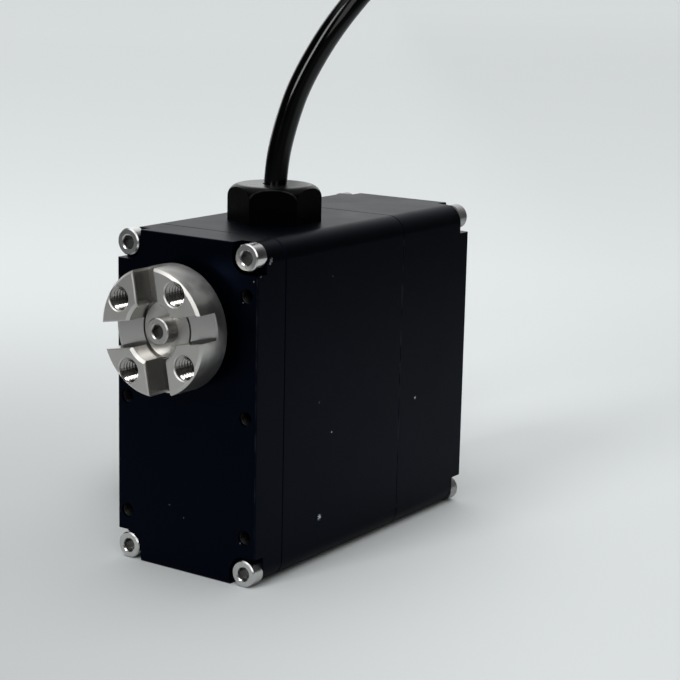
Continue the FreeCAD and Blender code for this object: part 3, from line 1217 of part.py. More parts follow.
node(group("Windings", [winding("FrontWinding", "arm_y - coil_len"), winding("RearWinding", "arm_end")]),
     "armature_windings")
comm_rod = cylinder("CommRod", "comm_r", "comm_len", on_motor("comm_y"))
comm_bore = cylinder("CommBore", "rotor_r", "comm_len", on_motor("comm_y"))
node(cut("Commutator", comm_rod, [comm_bore]), "motor_commutator")
mag_tube = cylinder("MagTube", "bore_r", "mag_len", on_motor("mag_y"))
mag_bore = cylinder("MagBore", "mag_in", "mag_len", on_motor("mag_y"))
mag_split = box("MagSplit", ("mag_gap_w", "mag_len", "2 * can_r"),
                ("-mag_gap_w / 2", "mag_y", "motor_z - can_r"))
node(cut("MotorMagnets", mag_tube, [mag_bore, mag_split]), "motor_magnets")
cap_disc = cylinder("CapDisc", "can_r", "cap_len", on_motor("can_end"))
cap_spigot = cylinder("CapSpigot", "bore_r", "cap_plug", on_motor("can_end - cap_plug"))
cap_room = cylinder("CapRoom", "cap_eye", "brush_room", on_motor("can_end - cap_plug"))
cap_bore = cylinder("CapBore", "rotor_r + run_gap", "cap_len", on_motor("can_end"))
brush_slot = box("BrushSlot", ("2 * (bore_r - brush_inset)", "brush_room", "brush_w"),
                 ("brush_inset - bore_r", "can_end - cap_plug", "motor_z - brush_w / 2"))
node(cut("EndCap", fuse("EndCapSolid", [cap_disc, cap_spigot]), [cap_room, cap_bore, brush_slot]),
     "motor_end_cap")
brush_bar = box("BrushBar", ("2 * (bore_r - brush_inset)", "brush_room", "brush_w"),
                ("brush_inset - bore_r", "can_end - cap_plug", "motor_z - brush_w / 2"))
brush_clear = cylinder("BrushClear", "comm_r + run_gap", "cap_len", on_motor("can_end - cap_plug"))
node(cut("Brushes", brush_bar, [brush_clear]), "motor_brushes")


def sunk_screw(name, across):
    """Countersunk M2 screw through the gear plate into the motor can."""
    shank = cylinder(name + "_shank", "small_r", "plate_t + can_wall", (across, "plate_y", "motor_z"))
    head = cone(name + "_head", "small_head_r", "small_r", "small_head_r - small_r",
                (across, "plate_y", "motor_z"))
    recess = prism(name + "_recess", "small_head_r / 2", "sink_recess", (across, "plate_y", "motor_z"))
    return cut(name, fuse(name + "_solid", [shank, head]), [recess])


node(group("MotorScrews", [sunk_screw("MotorScrewRight", "motor_bolt_x"),
                           sunk_screw("MotorScrewLeft", "-motor_bolt_x")]), "motor_screws")

# Encoder: magnet on the shaft tail, sensor on its own board
node(cylinder("PoleMagnet", "pole_r", "pole_len", on_shaft("tail_end")), "encoder_magnet")
enc_panel = box("EncoderPanel", ("enc_w", "enc_t", "enc_top - enc_low"), ("-enc_w / 2", "enc_y", "enc_low"))
enc_holes = [cylinder("EncoderHole" + side, "tiny_r", "enc_t", (sign + "enc_post_x", "enc_y", "enc_post_z"))
             for side, sign in (("Right", ""), ("Left", "-"))]
node(cut("EncoderBoard", enc_panel, enc_holes), "encoder_board")
node(box("EncoderChip", ("sense_w", "sense_t", "sense_w"),
         ("-sense_w / 2", "sense_y", "shaft_z - sense_w / 2")), "encoder_chip")
enc_screw = small_screw("EncoderScrew", "tiny_r", "tiny_head_r", "tiny_head", "enc_t + enc_bite", "enc_back",
                        "enc_post_x", "enc_post_z")
node(group("EncoderScrews", [enc_screw, mirror("EncoderScrewLeft", enc_screw, Vector(1, 0, 0))]),
     "encoder_screws")

# Control board with its parts, screws and wiring
board_panel = box("BoardPanel", ("board_w", "board_t", "board_h"),
                  ("-board_w / 2", "board_y", "mid_z - board_h / 2"))
board_hole = cylinder("BoardHole", "small_clear", "board_t", ("boss_x", "board_y", "mid_z + boss_up"))
node(cut("ControlBoard", board_panel, [four_corners("BoardHoles", board_hole)]), "control_board")
board_parts = [box("Chip%d" % i, ("chip_w", "chip_t", "chip_w"),
                   (x, "board_y - chip_t", z))
               for i, (x, z) in enumerate(CHIP_PLACES)]
board_parts.append(cylinder("Capacitor", "cap_r", "cap_h", ("cap_x", "board_y - cap_h", "cap_z")))
node(group("BoardComponents", board_parts), "board_components")
socket_block = box("SocketBlock", ("socket_w", "socket_t", "socket_h"),
                   ("-socket_w / 2", "board_y - socket_t", "thread_end - wire_bend - socket_h / 2"))
node(socket_block, "lead_socket")
board_screw_shank = cylinder("BoardScrewShank", "small_r", "board_t + boss_tap - screw_short",
                             ("boss_x", "board_y", "mid_z + boss_up"))
board_screw_cap = cylinder("BoardScrewCap", "pan_r", "small_head",
                           ("boss_x", "board_y - small_head", "mid_z + boss_up"))
board_screw_recess = prism("BoardScrewRecess", "pan_r / 2", "small_head / 2",
                           ("boss_x", "board_y - small_head", "mid_z + boss_up"))
board_screw = cut("BoardScrew", fuse("BoardScrewSolid", [board_screw_shank, board_screw_cap]),
                  [board_screw_recess])
node(four_corners("BoardScrews", board_screw), "board_screws")
lead_span = "board_y - cap_end"
motor_wires = [cylinder("MotorLead" + side, "wire_r", lead_span, (sign + "tab_x", "cap_end", "motor_z"))
               for side, sign in (("Right", ""), ("Left", "-"))]
node(group("MotorLeads", motor_wires), "motor_leads")
node(box("Ribbon", ("ribbon_w", "board_y - enc_back", "ribbon_t"),
         ("-ribbon_w / 2", "enc_back", "ribbon_z")), "encoder_ribbon")


def inner_lead(name, across):
    """Lead that drops out of the potting, bends once and runs back to its socket."""
    x, y, z = across * size("wire_pitch"), size("gland_y"), size("thread_end")
    bend = size("wire_bend")
    corner = Vector(x, y + bend * (1 - math.sqrt(0.5)), z - bend * math.sqrt(0.5))
    turn = Vector(x, y + bend, z - bend)
    stop = Vector(x, size("board_y") - size("socket_t"), z - bend)
    start = Vector(x, y, z)
    bent = Part.Arc(start, corner, turn).toShape()
    straight = Part.LineSegment(turn, stop).toShape()
    path = Part.Wire([bent, straight])
    ring = Part.Wire([Part.Circle(start, Vector(0, 0, 1), size("wire_r")).toShape()])
    obj = add("Part::Feature", name)
    obj.Shape = path.makePipeShell([ring], True, True)
    return obj


inner_leads = [inner_lead("Lead" + tag, step) for tag, step in (("Left", -1), ("Middle", 0), ("Right", 1))]
node(group("CableLeads", inner_leads), "cable_leads")

# Cable gland: turned hexagon head, face seal, thread, nut and potting
ON_GLAND = ("0", "gland_y")


def on_gland(level):
    """Point on the gland axis."""
    return ON_GLAND + (level,)


gland_hex = prism("GlandHex", "gland_af / sqrt(3)", "gland_h", on_gland("body_h"), "z")
gland_hex.Placement = Placement(gland_hex.Placement.Base, Rotation(Vector(0, 0, 1), size("gland_turn")))
bind(gland_hex, "Placement.Rotation.Angle", "gland_turn")
gland_turned = cylinder("GlandTurned", "gland_top_r", "gland_h", on_gland("body_h"), "z")
gland_dome = soften("GlandDome", gland_turned, size("gland_round"),
                    lambda e: e.BoundBox.ZMin > size("body_h") + size("gland_h") - 1e-4)
gland_head = common("GlandHead", [gland_hex, gland_dome])
gland_thread = cylinder("GlandThread", "thread_r", "thread_len", on_gland("thread_end"), "z")
gland_solid = fuse("GlandSolid", [gland_head, gland_thread])
gland_bore = cylinder("GlandBore", "cable_r + cable_fit", "thread_len + gland_h", on_gland("thread_end"), "z")
gland_pot = cylinder("GlandPot", "pot_r", "pot_h", on_gland("thread_end"), "z")
ring_outer = cylinder("GlandRingOuter", "ring_in + ring_w", "ring_deep", on_gland("body_h"), "z")
ring_inner = cylinder("GlandRingInner", "ring_in", "ring_deep", on_gland("body_h"), "z")
gland_groove = cut("GlandGroove", ring_outer, [ring_inner])
node(cut("GlandBody", gland_solid, [gland_bore, gland_pot, gland_groove]), "gland_body")
oring_reach = "ring_in + ring_side + ring_cord"
oring_outer = cylinder("GlandSealOuter", oring_reach, "ring_deep", on_gland("body_h"), "z")
oring_inner = cylinder("GlandSealInner", "ring_in + ring_side", "ring_deep", on_gland("body_h"), "z")
oring_ring = cut("GlandSealRing", oring_outer, [oring_inner])
node(soften("GlandSeal", oring_ring, size("cord_edge"), lambda e: e.BoundBox.ZLength < 1e-4), "gland_oring")
nut_hex = prism("NutHex", "nut_af / sqrt(3)", "nut_h", on_gland("cav_top - nut_h"), "z")
nut_hex.Placement = Placement(nut_hex.Placement.Base, Rotation(Vector(0, 0, 1), NUT_TURN))
nut_bore = cylinder("NutBore", "thread_r", "nut_h", on_gland("cav_top - nut_h"), "z")
node(cut("GlandNut", nut_hex, [nut_bore]), "gland_nut")
node(cylinder("GlandPotting", "pot_r", "pot_h", on_gland("thread_end"), "z"), "gland_potting")

# Cable: straight runs joined by tangent arcs


def smooth_path(corners):
    """Edges of straight runs with a tangent arc at every corner, and the arc radii."""
    edges, radii = [], []
    here = corners[0]
    for i in range(1, len(corners) - 1):
        before = (corners[i - 1] - corners[i]).normalize()
        after = (corners[i + 1] - corners[i]).normalize()
        turn = math.pi - before.getAngle(after)
        short = min((corners[i] - corners[i - 1]).Length, (corners[i + 1] - corners[i]).Length)
        reach = ARC_SHARE * short
        radius = reach / math.tan(turn / 2)
        start = corners[i] + before * reach
        end = corners[i] + after * reach
        inward = (before + after).normalize()
        middle = corners[i] + inward * (radius / math.cos(turn / 2) - radius)
        edges.append(Part.LineSegment(here, start).toShape())
        edges.append(Part.Arc(start, middle, end).toShape())
        radii.append(radius)
        here = end
    edges.append(Part.LineSegment(here, corners[-1]).toShape())
    return edges, radii


cable_start = Vector(0, size("gland_y"), size("cable_start"))
gland_foot = Vector(0, size("gland_y"), size("body_h"))
cable_end = Vector(size("hank_x") - size("hank_w") / 2 + size("cable_r"), size("step_y"),
                   size("tie_t") + size("hank_h") + size("cable_r") + size("cable_lift"))
cable_corners = [cable_start]
cable_corners += [gland_foot + Vector(*p) for p in CABLE_RISE]
cable_corners += [Vector(*p) for p in CABLE_ARCH]
cable_corners += [cable_end + Vector(*p) for p in CABLE_LANDING]
cable_corners.append(cable_end)
cable_edges, cable_radii = smooth_path(cable_corners)
cable_path = Part.Wire(cable_edges)
cable_ring = Part.Wire([Part.Circle(cable_start, Vector(0, 0, 1), size("cable_r")).toShape()])
cable = add("Part::Feature", "Cable")
cable.Shape = cable_path.makePipeShell([cable_ring], True, True)
cable_ideal = math.pi * size("cable_r") ** 2 * cable_path.Length
print("cable length %.1f, smallest arc radius %.1f, volume share %.4f" % (
    cable_path.Length, min(cable_radii), cable.Shape.Volume / cable_ideal))
node(cable, "cable")


def racetrack(name, width, length, low, high):
    """Solid with straight sides and round ends, standing on the floor plane."""
    half = "(%s) / 2" % width
    reach = "(%s) - (%s)" % (length, width)
    side = box(name + "_side", (width, reach, high), ("hank_x - " + half, "hank_y - (%s) / 2" % reach, low))
    ends = []
    for tag, sign in (("Front", "-"), ("Rear", "+")):
        middle = "hank_y %s (%s) / 2" % (sign, reach)
        ends.append(cylinder(name + "_end" + tag, half, high, ("hank_x", middle, low), "z"))
    return fuse(name, [side] + ends)


hank_full = racetrack("HankFull", "hank_w", "hank_l", "tie_t", "hank_h + 2 * cable_r")
hank_hollow = racetrack("HankHollow", "hank_w - 4 * cable_r", "hank_l - 4 * cable_r", "tie_t",
                        "hank_h + 2 * cable_r")
hank_step = box("HankStep", ("hank_w", "hank_l", "2 * cable_r"),
                ("hank_x - hank_w / 2", "step_y", "tie_t + hank_h"))
hank_turns = cut("HankTurns", hank_full, [hank_hollow, hank_step])

# The cable's end leaves the bottom turn by two equal bends towards the hank's middle
exit_turn = math.acos(1 - size("exit_shift") / (2 * size("exit_r")))
exit_bow = size("exit_r") * math.sin(exit_turn / 2)
exit_sag = size("exit_r") * (1 - math.cos(exit_turn / 2))
exit_reach = size("exit_r") * math.sin(exit_turn)
exit_stop = Vector(size("hank_x"), size("sleeve_y"), size("plug_z"))
exit_halfway = exit_stop + Vector(size("exit_shift") / 2, -exit_reach, 0)
exit_leave = exit_stop + Vector(size("exit_shift"), -2 * exit_reach, 0)
exit_start = exit_leave - Vector(0, size("exit_root"), 0)
exit_path = Part.Wire([
    Part.LineSegment(exit_start, exit_leave).toShape(),
    Part.Arc(exit_leave, exit_leave + Vector(-exit_sag, exit_bow, 0), exit_halfway).toShape(),
    Part.Arc(exit_halfway, exit_stop + Vector(exit_sag, -exit_bow, 0), exit_stop).toShape(),
])
exit_ring = Part.Wire([Part.Circle(exit_start, Vector(0, 1, 0), size("cable_r")).toShape()])
hank_exit = add("Part::Feature", "HankExit")
hank_exit.Shape = exit_path.makePipeShell([exit_ring], True, True)
node(fuse("CableHank", [hank_turns, hank_exit]), "cable_hank")
tie_outer = box("TieOuter", ("hank_w + 2 * tie_slack + 2 * tie_t", "tie_w", "hank_h + tie_slack + 2 * tie_t"),
                ("hank_x - hank_w / 2 - tie_slack - tie_t", "tie_y", "0"))
tie_inner = box("TieInner", ("hank_w + 2 * tie_slack", "tie_w", "hank_h + tie_slack"),
                ("hank_x - hank_w / 2 - tie_slack", "tie_y", "tie_t"))
node(cut("HankTie", tie_outer, [tie_inner]), "hank_tie")

# Cable end: sleeve, three leads and a three-way plug lying inside the hank
node(cylinder("PlugSleeve", "sleeve_r", "sleeve_len", ("hank_x", "sleeve_y", "plug_z")), "plug_sleeve")
TAIL_SHIFTS = (("Left", " - tail_wire_pitch"), ("Middle", ""), ("Right", " + tail_wire_pitch"))
tail_wires = [cylinder("TailWire" + tag, "tail_wire_r", "tail_wire_len",
                       ("hank_x" + shift, "sleeve_y + sleeve_len", "plug_z"))
              for tag, shift in TAIL_SHIFTS]
node(group("PlugLeads", tail_wires), "plug_leads")
plug_block = box("PlugBlock", ("plug_w", "plug_len", "plug_h"),
                 ("hank_x - plug_w / 2", "plug_y", "plug_z - plug_h / 2"))
plug_windows = []
plug_pins = []
for tag, sign in (("Left", "- plug_pitch"), ("Middle", ""), ("Right", "+ plug_pitch")):
    plug_windows.append(box("PlugWindow" + tag, ("pin_hole", "pin_deep", "pin_hole"),
                            ("hank_x %s - pin_hole / 2" % sign, "plug_y + plug_len - pin_deep",
                             "plug_z - pin_hole / 2")))
    plug_pins.append(box("PlugPin" + tag, ("pin_w", "pin_deep - pin_inset", "pin_w"),
                         ("hank_x %s - pin_w / 2" % sign, "plug_y + plug_len - pin_deep",
                          "plug_z - pin_w / 2")))
node(cut("ServoPlug", plug_block, plug_windows), "servo_plug")
node(group("PlugContacts", plug_pins), "plug_contacts")

DOC.recompute()
for obj in DOC.Objects:
    if "Invalid" in obj.State or "Error" in obj.State:
        raise RuntimeError("%s does not compute: %s" % (obj.Label, obj.State))
os.makedirs("parts", exist_ok=True)
for label, obj in NODES:
    shape = obj.Shape
    if shape.isNull() or not shape.isValid():
        raise RuntimeError("%s has no valid shape" % label)
    shape.exportStep("parts/%s.step" % label)
    print("%-28s solids %2d volume %10.2f" % (label, len(shape.Solids), shape.Volume))
print("nodes", len(NODES))
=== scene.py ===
"""Dressed underwater servo: finishes, threads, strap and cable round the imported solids.

All lengths are in metres, in the frame of the solids: +X to the right seen from the horn,
+Y towards the rear cover, +Z up, with the origin under the middle of the housing.
"""
import logging
import math
from dataclasses import dataclass, field, replace
from enum import Enum
from typing import Dict, List, Optional, Sequence, Tuple, Union

import bmesh
import bpy
from mathutils import Matrix, Vector


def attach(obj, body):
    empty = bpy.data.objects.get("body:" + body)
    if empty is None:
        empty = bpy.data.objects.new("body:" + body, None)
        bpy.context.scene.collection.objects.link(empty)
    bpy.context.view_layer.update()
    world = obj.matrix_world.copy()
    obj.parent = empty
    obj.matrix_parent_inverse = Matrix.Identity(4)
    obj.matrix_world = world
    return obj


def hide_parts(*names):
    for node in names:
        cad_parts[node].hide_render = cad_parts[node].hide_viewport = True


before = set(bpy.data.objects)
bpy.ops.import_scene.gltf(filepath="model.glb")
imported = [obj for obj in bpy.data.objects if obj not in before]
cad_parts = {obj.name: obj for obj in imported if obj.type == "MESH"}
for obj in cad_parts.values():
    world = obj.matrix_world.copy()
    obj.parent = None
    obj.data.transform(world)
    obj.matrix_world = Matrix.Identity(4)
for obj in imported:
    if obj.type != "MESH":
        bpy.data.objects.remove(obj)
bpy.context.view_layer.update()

LOG = logging.getLogger("underwater_servo")
MM = 0.001
HALF = 0.5
FULL_TURN = 2 * math.pi
# A coordinate that no point of the part reaches
BEYOND = 1.0
PHOTO_SIDE = 680
# Middle one of the three insulated leads
LEAD_RED = (0.40, 0.02, 0.015)

Point = Tuple[float, float, float]
Colour = Tuple[float, float, float]
Span = Tuple[float, float]
Face = Tuple[int, ...]
Shell = Tuple[List[Point], List[Face]]
Operand = Union["Shade", float]


class Kind(Enum):
    """Shader node types that the finishes use."""

    BUMP = "ShaderNodeBump"
    COORDINATE = "ShaderNodeTexCoord"
    MAP_RANGE = "ShaderNodeMapRange"
    MATH = "ShaderNodeMath"
    MIX = "ShaderNodeMix"
    NOISE = "ShaderNodeTexNoise"
    SEPARATE = "ShaderNodeSeparateXYZ"
    VECTOR_MATH = "ShaderNodeVectorMath"
    VORONOI = "ShaderNodeTexVoronoi"


class Body(Enum):
    """Moving groups that dressed pieces ride on."""

    HOUSING = "housing"
    OUTPUT = "output"


class Shade:
    """A node socket whose arithmetic adds Math nodes to its tree."""

    def __init__(self, sheet: "ShaderSheet", socket: bpy.types.NodeSocket) -> None:
        """Keeps the socket and the sheet that it belongs to."""
        self.sheet = sheet
        self.socket = socket

    def _math(self, operation: str, *operands: Operand) -> "Shade":
        """Adds a Math node.

        Args:
            operation: Blender's name of the operation.
            operands: sockets or numbers, in order.

        Returns:
            The node's result.
        """
        return self.sheet.add(Kind.MATH, {"operation": operation}, dict(enumerate(operands)))

    def __add__(self, other: Operand) -> "Shade":
        """Sum."""
        return self._math("ADD", self, other)

    def __radd__(self, other: Operand) -> "Shade":
        """Sum with a number on the left."""
        return self._math("ADD", other, self)

    def __sub__(self, other: Operand) -> "Shade":
        """Difference."""
        return self._math("SUBTRACT", self, other)

    def __rsub__(self, other: Operand) -> "Shade":
        """Difference with a number on the left."""
        return self._math("SUBTRACT", other, self)

    def __mul__(self, other: Operand) -> "Shade":
        """Product."""
        return self._math("MULTIPLY", self, other)

    def __rmul__(self, other: Operand) -> "Shade":
        """Product with a number on the left."""
        return self._math("MULTIPLY", other, self)

    def __truediv__(self, other: Operand) -> "Shade":
        """Quotient."""
        return self._math("DIVIDE", self, other)

    def __rtruediv__(self, other: Operand) -> "Shade":
        """Quotient with a number on the left."""
        return self._math("DIVIDE", other, self)

    def __abs__(self) -> "Shade":
        """Distance from zero."""
        return self._math("ABSOLUTE", self)

    def __gt__(self, other: Operand) -> "Shade":
        """One where this is greater, else zero."""
        return self._math("GREATER_THAN", self, other)

    def __lt__(self, other: Operand) -> "Shade":
        """One where this is smaller, else zero."""
        return self._math("LESS_THAN", self, other)

    def sine(self) -> "Shade":
        """Sine of an angle in radians."""
        return self._math("SINE", self)

    def most(self, other: Operand) -> "Shade":
        """The greater of two."""
        return self._math("MAXIMUM", self, other)

    def hypotenuse(self, other: "Shade") -> "Shade":
        """Length over two sides at a right angle."""
        return self._math("SQRT", self * self + other * other)

    def swing(self, amount: float) -> "Shade":
        """Swing of a noise about its middle, scaled to an amount."""
        return amount * (self - HALF)

    def held(self) -> "Shade":
        """The value, held between zero and one."""
        return self.sheet.add(Kind.MATH, {"operation": "ADD", "use_clamp": True}, {0: self, 1: 0.0})

    def between(self, low: float, high: float) -> "Shade":
        """Smooth step.

        Args:
            low: value that gives zero.
            high: value that gives one; it may be below low.

        Returns:
            A mask from zero to one.
        """
        inputs = {"Value": self, "From Min": low, "From Max": high}
        return self.sheet.add(Kind.MAP_RANGE, {"interpolation_type": "SMOOTHSTEP"}, inputs)


class ShaderSheet:
    """One material's node tree, with short ways to add to it."""

    # Numbers of the Mix node's colour sockets
    MIX_FIRST, MIX_SECOND, MIX_RESULT = 6, 7, 2
    # Output of a Vector Math node that holds a number
    NUMBER = 1
    # Share of a dot's radius inside which it is full
    DOT_CORE = 0.4

    def __init__(self, name: str, tree: Optional[bpy.types.NodeTree] = None) -> None:
        """Starts a sheet.

        Args:
            name: name of the new material.
            tree: node tree of the surroundings, for which no material is made.
        """
        if tree is None:
            self.material = bpy.data.materials.new(name)
            self.material.use_nodes = True
            tree = self.material.node_tree
        self.tree = tree
        self.shader = tree.nodes.get("Principled BSDF")
        self.place = self.add(Kind.COORDINATE, output="Object" if self.shader else "Generated")

    def add(
        self,
        kind: Kind,
        settings: Optional[Dict[str, object]] = None,
        inputs: Optional[Dict[Union[int, str], object]] = None,
        output: Union[int, str] = 0,
    ) -> Shade:
        """Adds any node.

        Args:
            kind: node type.
            settings: properties of the node, set first.
            inputs: values or links of its sockets, by number or name.
            output: socket that is handed back.

        Returns:
            The chosen output.
        """
        node = self.tree.nodes.new(kind.value)
        for prop, value in (settings or {}).items():
            setattr(node, prop, value)
        for key, value in (inputs or {}).items():
            self.join(node.inputs[key], value)
        return Shade(self, node.outputs[output])

    def vector(self, operation: str, *operands: object, output: int = 0) -> Shade:
        """Adds a Vector Math node.

        Args:
            operation: Blender's name of the operation.
            operands: sockets or vectors, in order.
            output: socket that is handed back.

        Returns:
            The chosen output.
        """
        return self.add(Kind.VECTOR_MATH, {"operation": operation}, dict(enumerate(operands)), output)

    def join(self, socket: bpy.types.NodeSocket, value: object) -> None:
        """Links a shade to a socket, or sets a plain value on it.

        Args:
            socket: input of a node.
            value: what it gets.
        """
        if isinstance(value, Shade):
            self.tree.links.new(value.socket, socket)
        else:
            socket.default_value = value

    @staticmethod
    def opaque(value: object) -> object:
        """A plain colour with its alpha; anything else as it is."""
        return (*value, 1.0) if isinstance(value, tuple) else value

    def feed(self, name: str, value: object) -> None:
        """Feeds a socket of the shader.

        Args:
            name: the socket's name.
            value: a shade, a number or a colour.
        """
        self.join(self.shader.inputs[name], self.opaque(value))

    def axes(self) -> Tuple[Shade, Shade, Shade]:
        """Coordinates of the piece.

        Returns:
            The places along X, Y and Z.
        """
        x = self.add(Kind.SEPARATE, None, {0: self.place})
        y, z = (Shade(self, socket) for socket in x.socket.node.outputs[1:])
        return x, y, z

    def noise(self, grain: float, detail: float = 3.0, stretch: Point = (1.0, 1.0, 1.0)) -> Shade:
        """Soft noise.

        Args:
            grain: size of its spots.
            detail: octaves.
            stretch: how much the spots are drawn out along each axis.

        Returns:
            Values round one half.
        """
        drawn = self.vector("MULTIPLY", self.place, tuple(1.0 / s for s in stretch))
        return self.add(Kind.NOISE, None, {"Vector": drawn, "Scale": 1.0 / grain, "Detail": detail})

    def specks(self, spacing: float, radius: float) -> Shade:
        """Scattered round dots.

        Args:
            spacing: mean distance between the dots.
            radius: size of a dot.

        Returns:
            A mask from zero to one.
        """
        near = self.add(Kind.VORONOI, None, {"Vector": self.place, "Scale": 1.0 / spacing})
        return near.between(radius / spacing, self.DOT_CORE * radius / spacing)

    def blend(self, mask: Operand, first: object, second: object) -> Shade:
        """Mixes two colours by a mask.

        Args:
            mask: share of the second colour.
            first: colour, or shade of one, where the mask is zero.
            second: colour, or shade of one, where the mask is one.

        Returns:
            The mixed colour.
        """
        inputs = {0: mask, self.MIX_FIRST: self.opaque(first), self.MIX_SECOND: self.opaque(second)}
        return self.add(Kind.MIX, {"data_type": "RGBA"}, inputs, self.MIX_RESULT)

    def bump(self, height: Shade, depth: float) -> None:
        """Feeds the shader's normal with a relief of a real depth."""
        relief = self.add(Kind.BUMP, None, {"Strength": 1.0, "Distance": depth, "Height": height})
        self.feed("Normal", relief)

    def distance(self, centre: Point) -> Shade:
        """Distance from a point of the piece."""
        return self.vector("DISTANCE", self.place, centre, output=self.NUMBER)

    def towards(self, heading: Point) -> Shade:
        """How far the place lies along a heading from the origin."""
        return self.vector("DOT_PRODUCT", self.place, heading, output=self.NUMBER)

    def edge_distance(self, start: Point, end: Point) -> Shade:
        """Distance from a straight edge.

        Args:
            start: one end of the edge.
            end: its other end.

        Returns:
            The distance.
        """
        span = Vector(end) - Vector(start)
        offset = self.vector("SUBTRACT", self.place, start)
        part = self.vector("DOT_PRODUCT", offset, tuple(span / span.length_squared), output=self.NUMBER)
        foot = self.add(Kind.VECTOR_MATH, {"operation": "SCALE"}, {0: tuple(span), "Scale": part.held()})
        return self.vector("DISTANCE", offset, foot, output=self.NUMBER)


@dataclass(frozen=True)
class Finish:
    """What every finish has: a colour, a gloss and faint clouds in both."""

    name: str
    colour: Colour
    roughness: float
    metallic: float = 0.0
    ior: float = 1.45
    tint: Colour = (1.0, 1.0, 1.0)
    cloud: float = 4.0 * MM
    cloud_detail: float = 3.0
    cloud_tone: float = 0.8
    cloud_gloss: float = 0.1

    def material(self) -> bpy.types.Material:
        """Makes the material.

        Returns:
            The new material.
        """
        sheet = ShaderSheet(self.name)
        sheet.feed("Metallic", self.metallic)
        sheet.feed("IOR", self.ior)
        sheet.feed("Specular Tint", self.tint)
        self.pattern(sheet)
        return sheet.material

    def shaded(self, share: float) -> Colour:
        """The colour, brought to a share of itself."""
        return tuple(share * c for c in self.colour)

    def clouded(self, sheet: ShaderSheet) -> Tuple[Shade, Shade]:
        """Colour and gloss with faint clouds.

        Args:
            sheet: the material in the making.

        Returns:
            The colour and the roughness.
        """
        cloud = sheet.noise(self.cloud, self.cloud_detail)
        colour = sheet.blend(cloud, self.shaded(self.cloud_tone), self.colour)
        return colour, self.roughness + cloud.swing(self.cloud_gloss)

    def pattern(self, sheet: ShaderSheet) -> None:
        """Draws what varies over the surface: here only the clouds.

        Args:
            sheet: the material in the making.
        """
        colour, gloss = self.clouded(sheet)
        sheet.feed("Base Color", colour)
        sheet.feed("Roughness", gloss)


@dataclass(frozen=True)
class ChipAndGlint:
    """A spot where the black layer is gone: some are chips, some are painted glints."""

    place: Point
    radius: float
    share: float = 1.0


@dataclass(frozen=True)
class WearAndHighlightEdge:
    """A lighter line along a straight edge: polish from handling, and on some edges a painted highlight."""

    start: Point
    end: Point
    width: float = 0.16 * MM
    share: float = 0.016


@dataclass(frozen=True)
class Anodised(Finish):
    """Black anodised aluminium, blasted before it was coated, with bare chips, worn edges, and painted
    glints and highlights in bare metal.
    """

    cloud: float = 9.0 * MM
    cloud_detail: float = 2.0
    cloud_tone: float = 0.7
    grain: float = 0.12 * MM
    grain_detail: float = 2.0
    grain_gloss: float = 0.06
    grain_depth: float = 0.004 * MM
    lint_spacing: float = 4.5 * MM
    lint_r: float = 0.07 * MM
    lint_tone: float = 0.25
    lint_patch: float = 3.0 * MM
    lint_gate: float = 0.58
    bare: Colour = (0.55, 0.56, 0.57)
    frayed: float = 0.16 * MM
    frayed_detail: float = 2.0
    ragged: float = 4.4
    spot_core: float = 0.75
    chips_and_glints: Tuple[ChipAndGlint, ...] = ()
    edges: Tuple[WearAndHighlightEdge, ...] = ()
    edge_core: float = 0.5
    patch: float = 3.0 * MM
    patch_detail: float = 3.0
    patch_span: Span = (0.40, 0.70)
    patch_least: float = 0.15

    def patches(self, sheet: ShaderSheet) -> Shade:
        """How unevenly an edge's wear and painted highlight run along its length."""
        return self.patch_least + sheet.noise(self.patch, self.patch_detail).between(*self.patch_span)

    def wear_and_highlight_mask(self, sheet: ShaderSheet) -> Optional[Shade]:
        """Where the layer is chipped or worn, and where glints and highlights are painted.

        Args:
            sheet: the material in the making.

        Returns:
            One on chips and painted glints, a little on worn and highlighted edges, else zero; None if
            there is neither wear nor painted light.
        """
        if not self.chips_and_glints and not self.edges:
            return None
        fringe = sheet.noise(self.frayed, self.frayed_detail).swing(self.ragged)
        patches = self.patches(sheet)
        masks = []
        for chip in self.chips_and_glints:
            reach = sheet.distance(chip.place) / chip.radius + fringe
            masks.append(reach.between(1.0, self.spot_core) * chip.share)
        for edge in self.edges:
            reach = sheet.edge_distance(edge.start, edge.end)
            masks.append(reach.between(edge.width, self.edge_core * edge.width) * patches * edge.share)
        worst = masks[0]
        for mask in masks[1:]:
            worst = worst.most(mask)
        return worst

    def pattern(self, sheet: ShaderSheet) -> None:
        """Draws the grain, faint clouds, lint specks, the wear, and the painted glints and highlights.

        Args:
            sheet: the material in the making.
        """
        coat, gloss = self.clouded(sheet)
        grain = sheet.noise(self.grain, self.grain_detail)
        linty = sheet.noise(self.lint_patch) > self.lint_gate
        lint = sheet.specks(self.lint_spacing, self.lint_r) * linty
        colour = sheet.blend(self.lint_tone * lint, coat, self.bare)
        # Chips and worn edges, with painted glints and highlights, drawn in bare metal
        wear_and_highlight = self.wear_and_highlight_mask(sheet)
        if wear_and_highlight is not None:
            colour = sheet.blend(wear_and_highlight, colour, self.bare)
            sheet.feed("Metallic", wear_and_highlight)
        sheet.feed("Base Color", colour)
        sheet.feed("Roughness", gloss + grain.swing(self.grain_gloss))
        sheet.bump(grain, self.grain_depth)


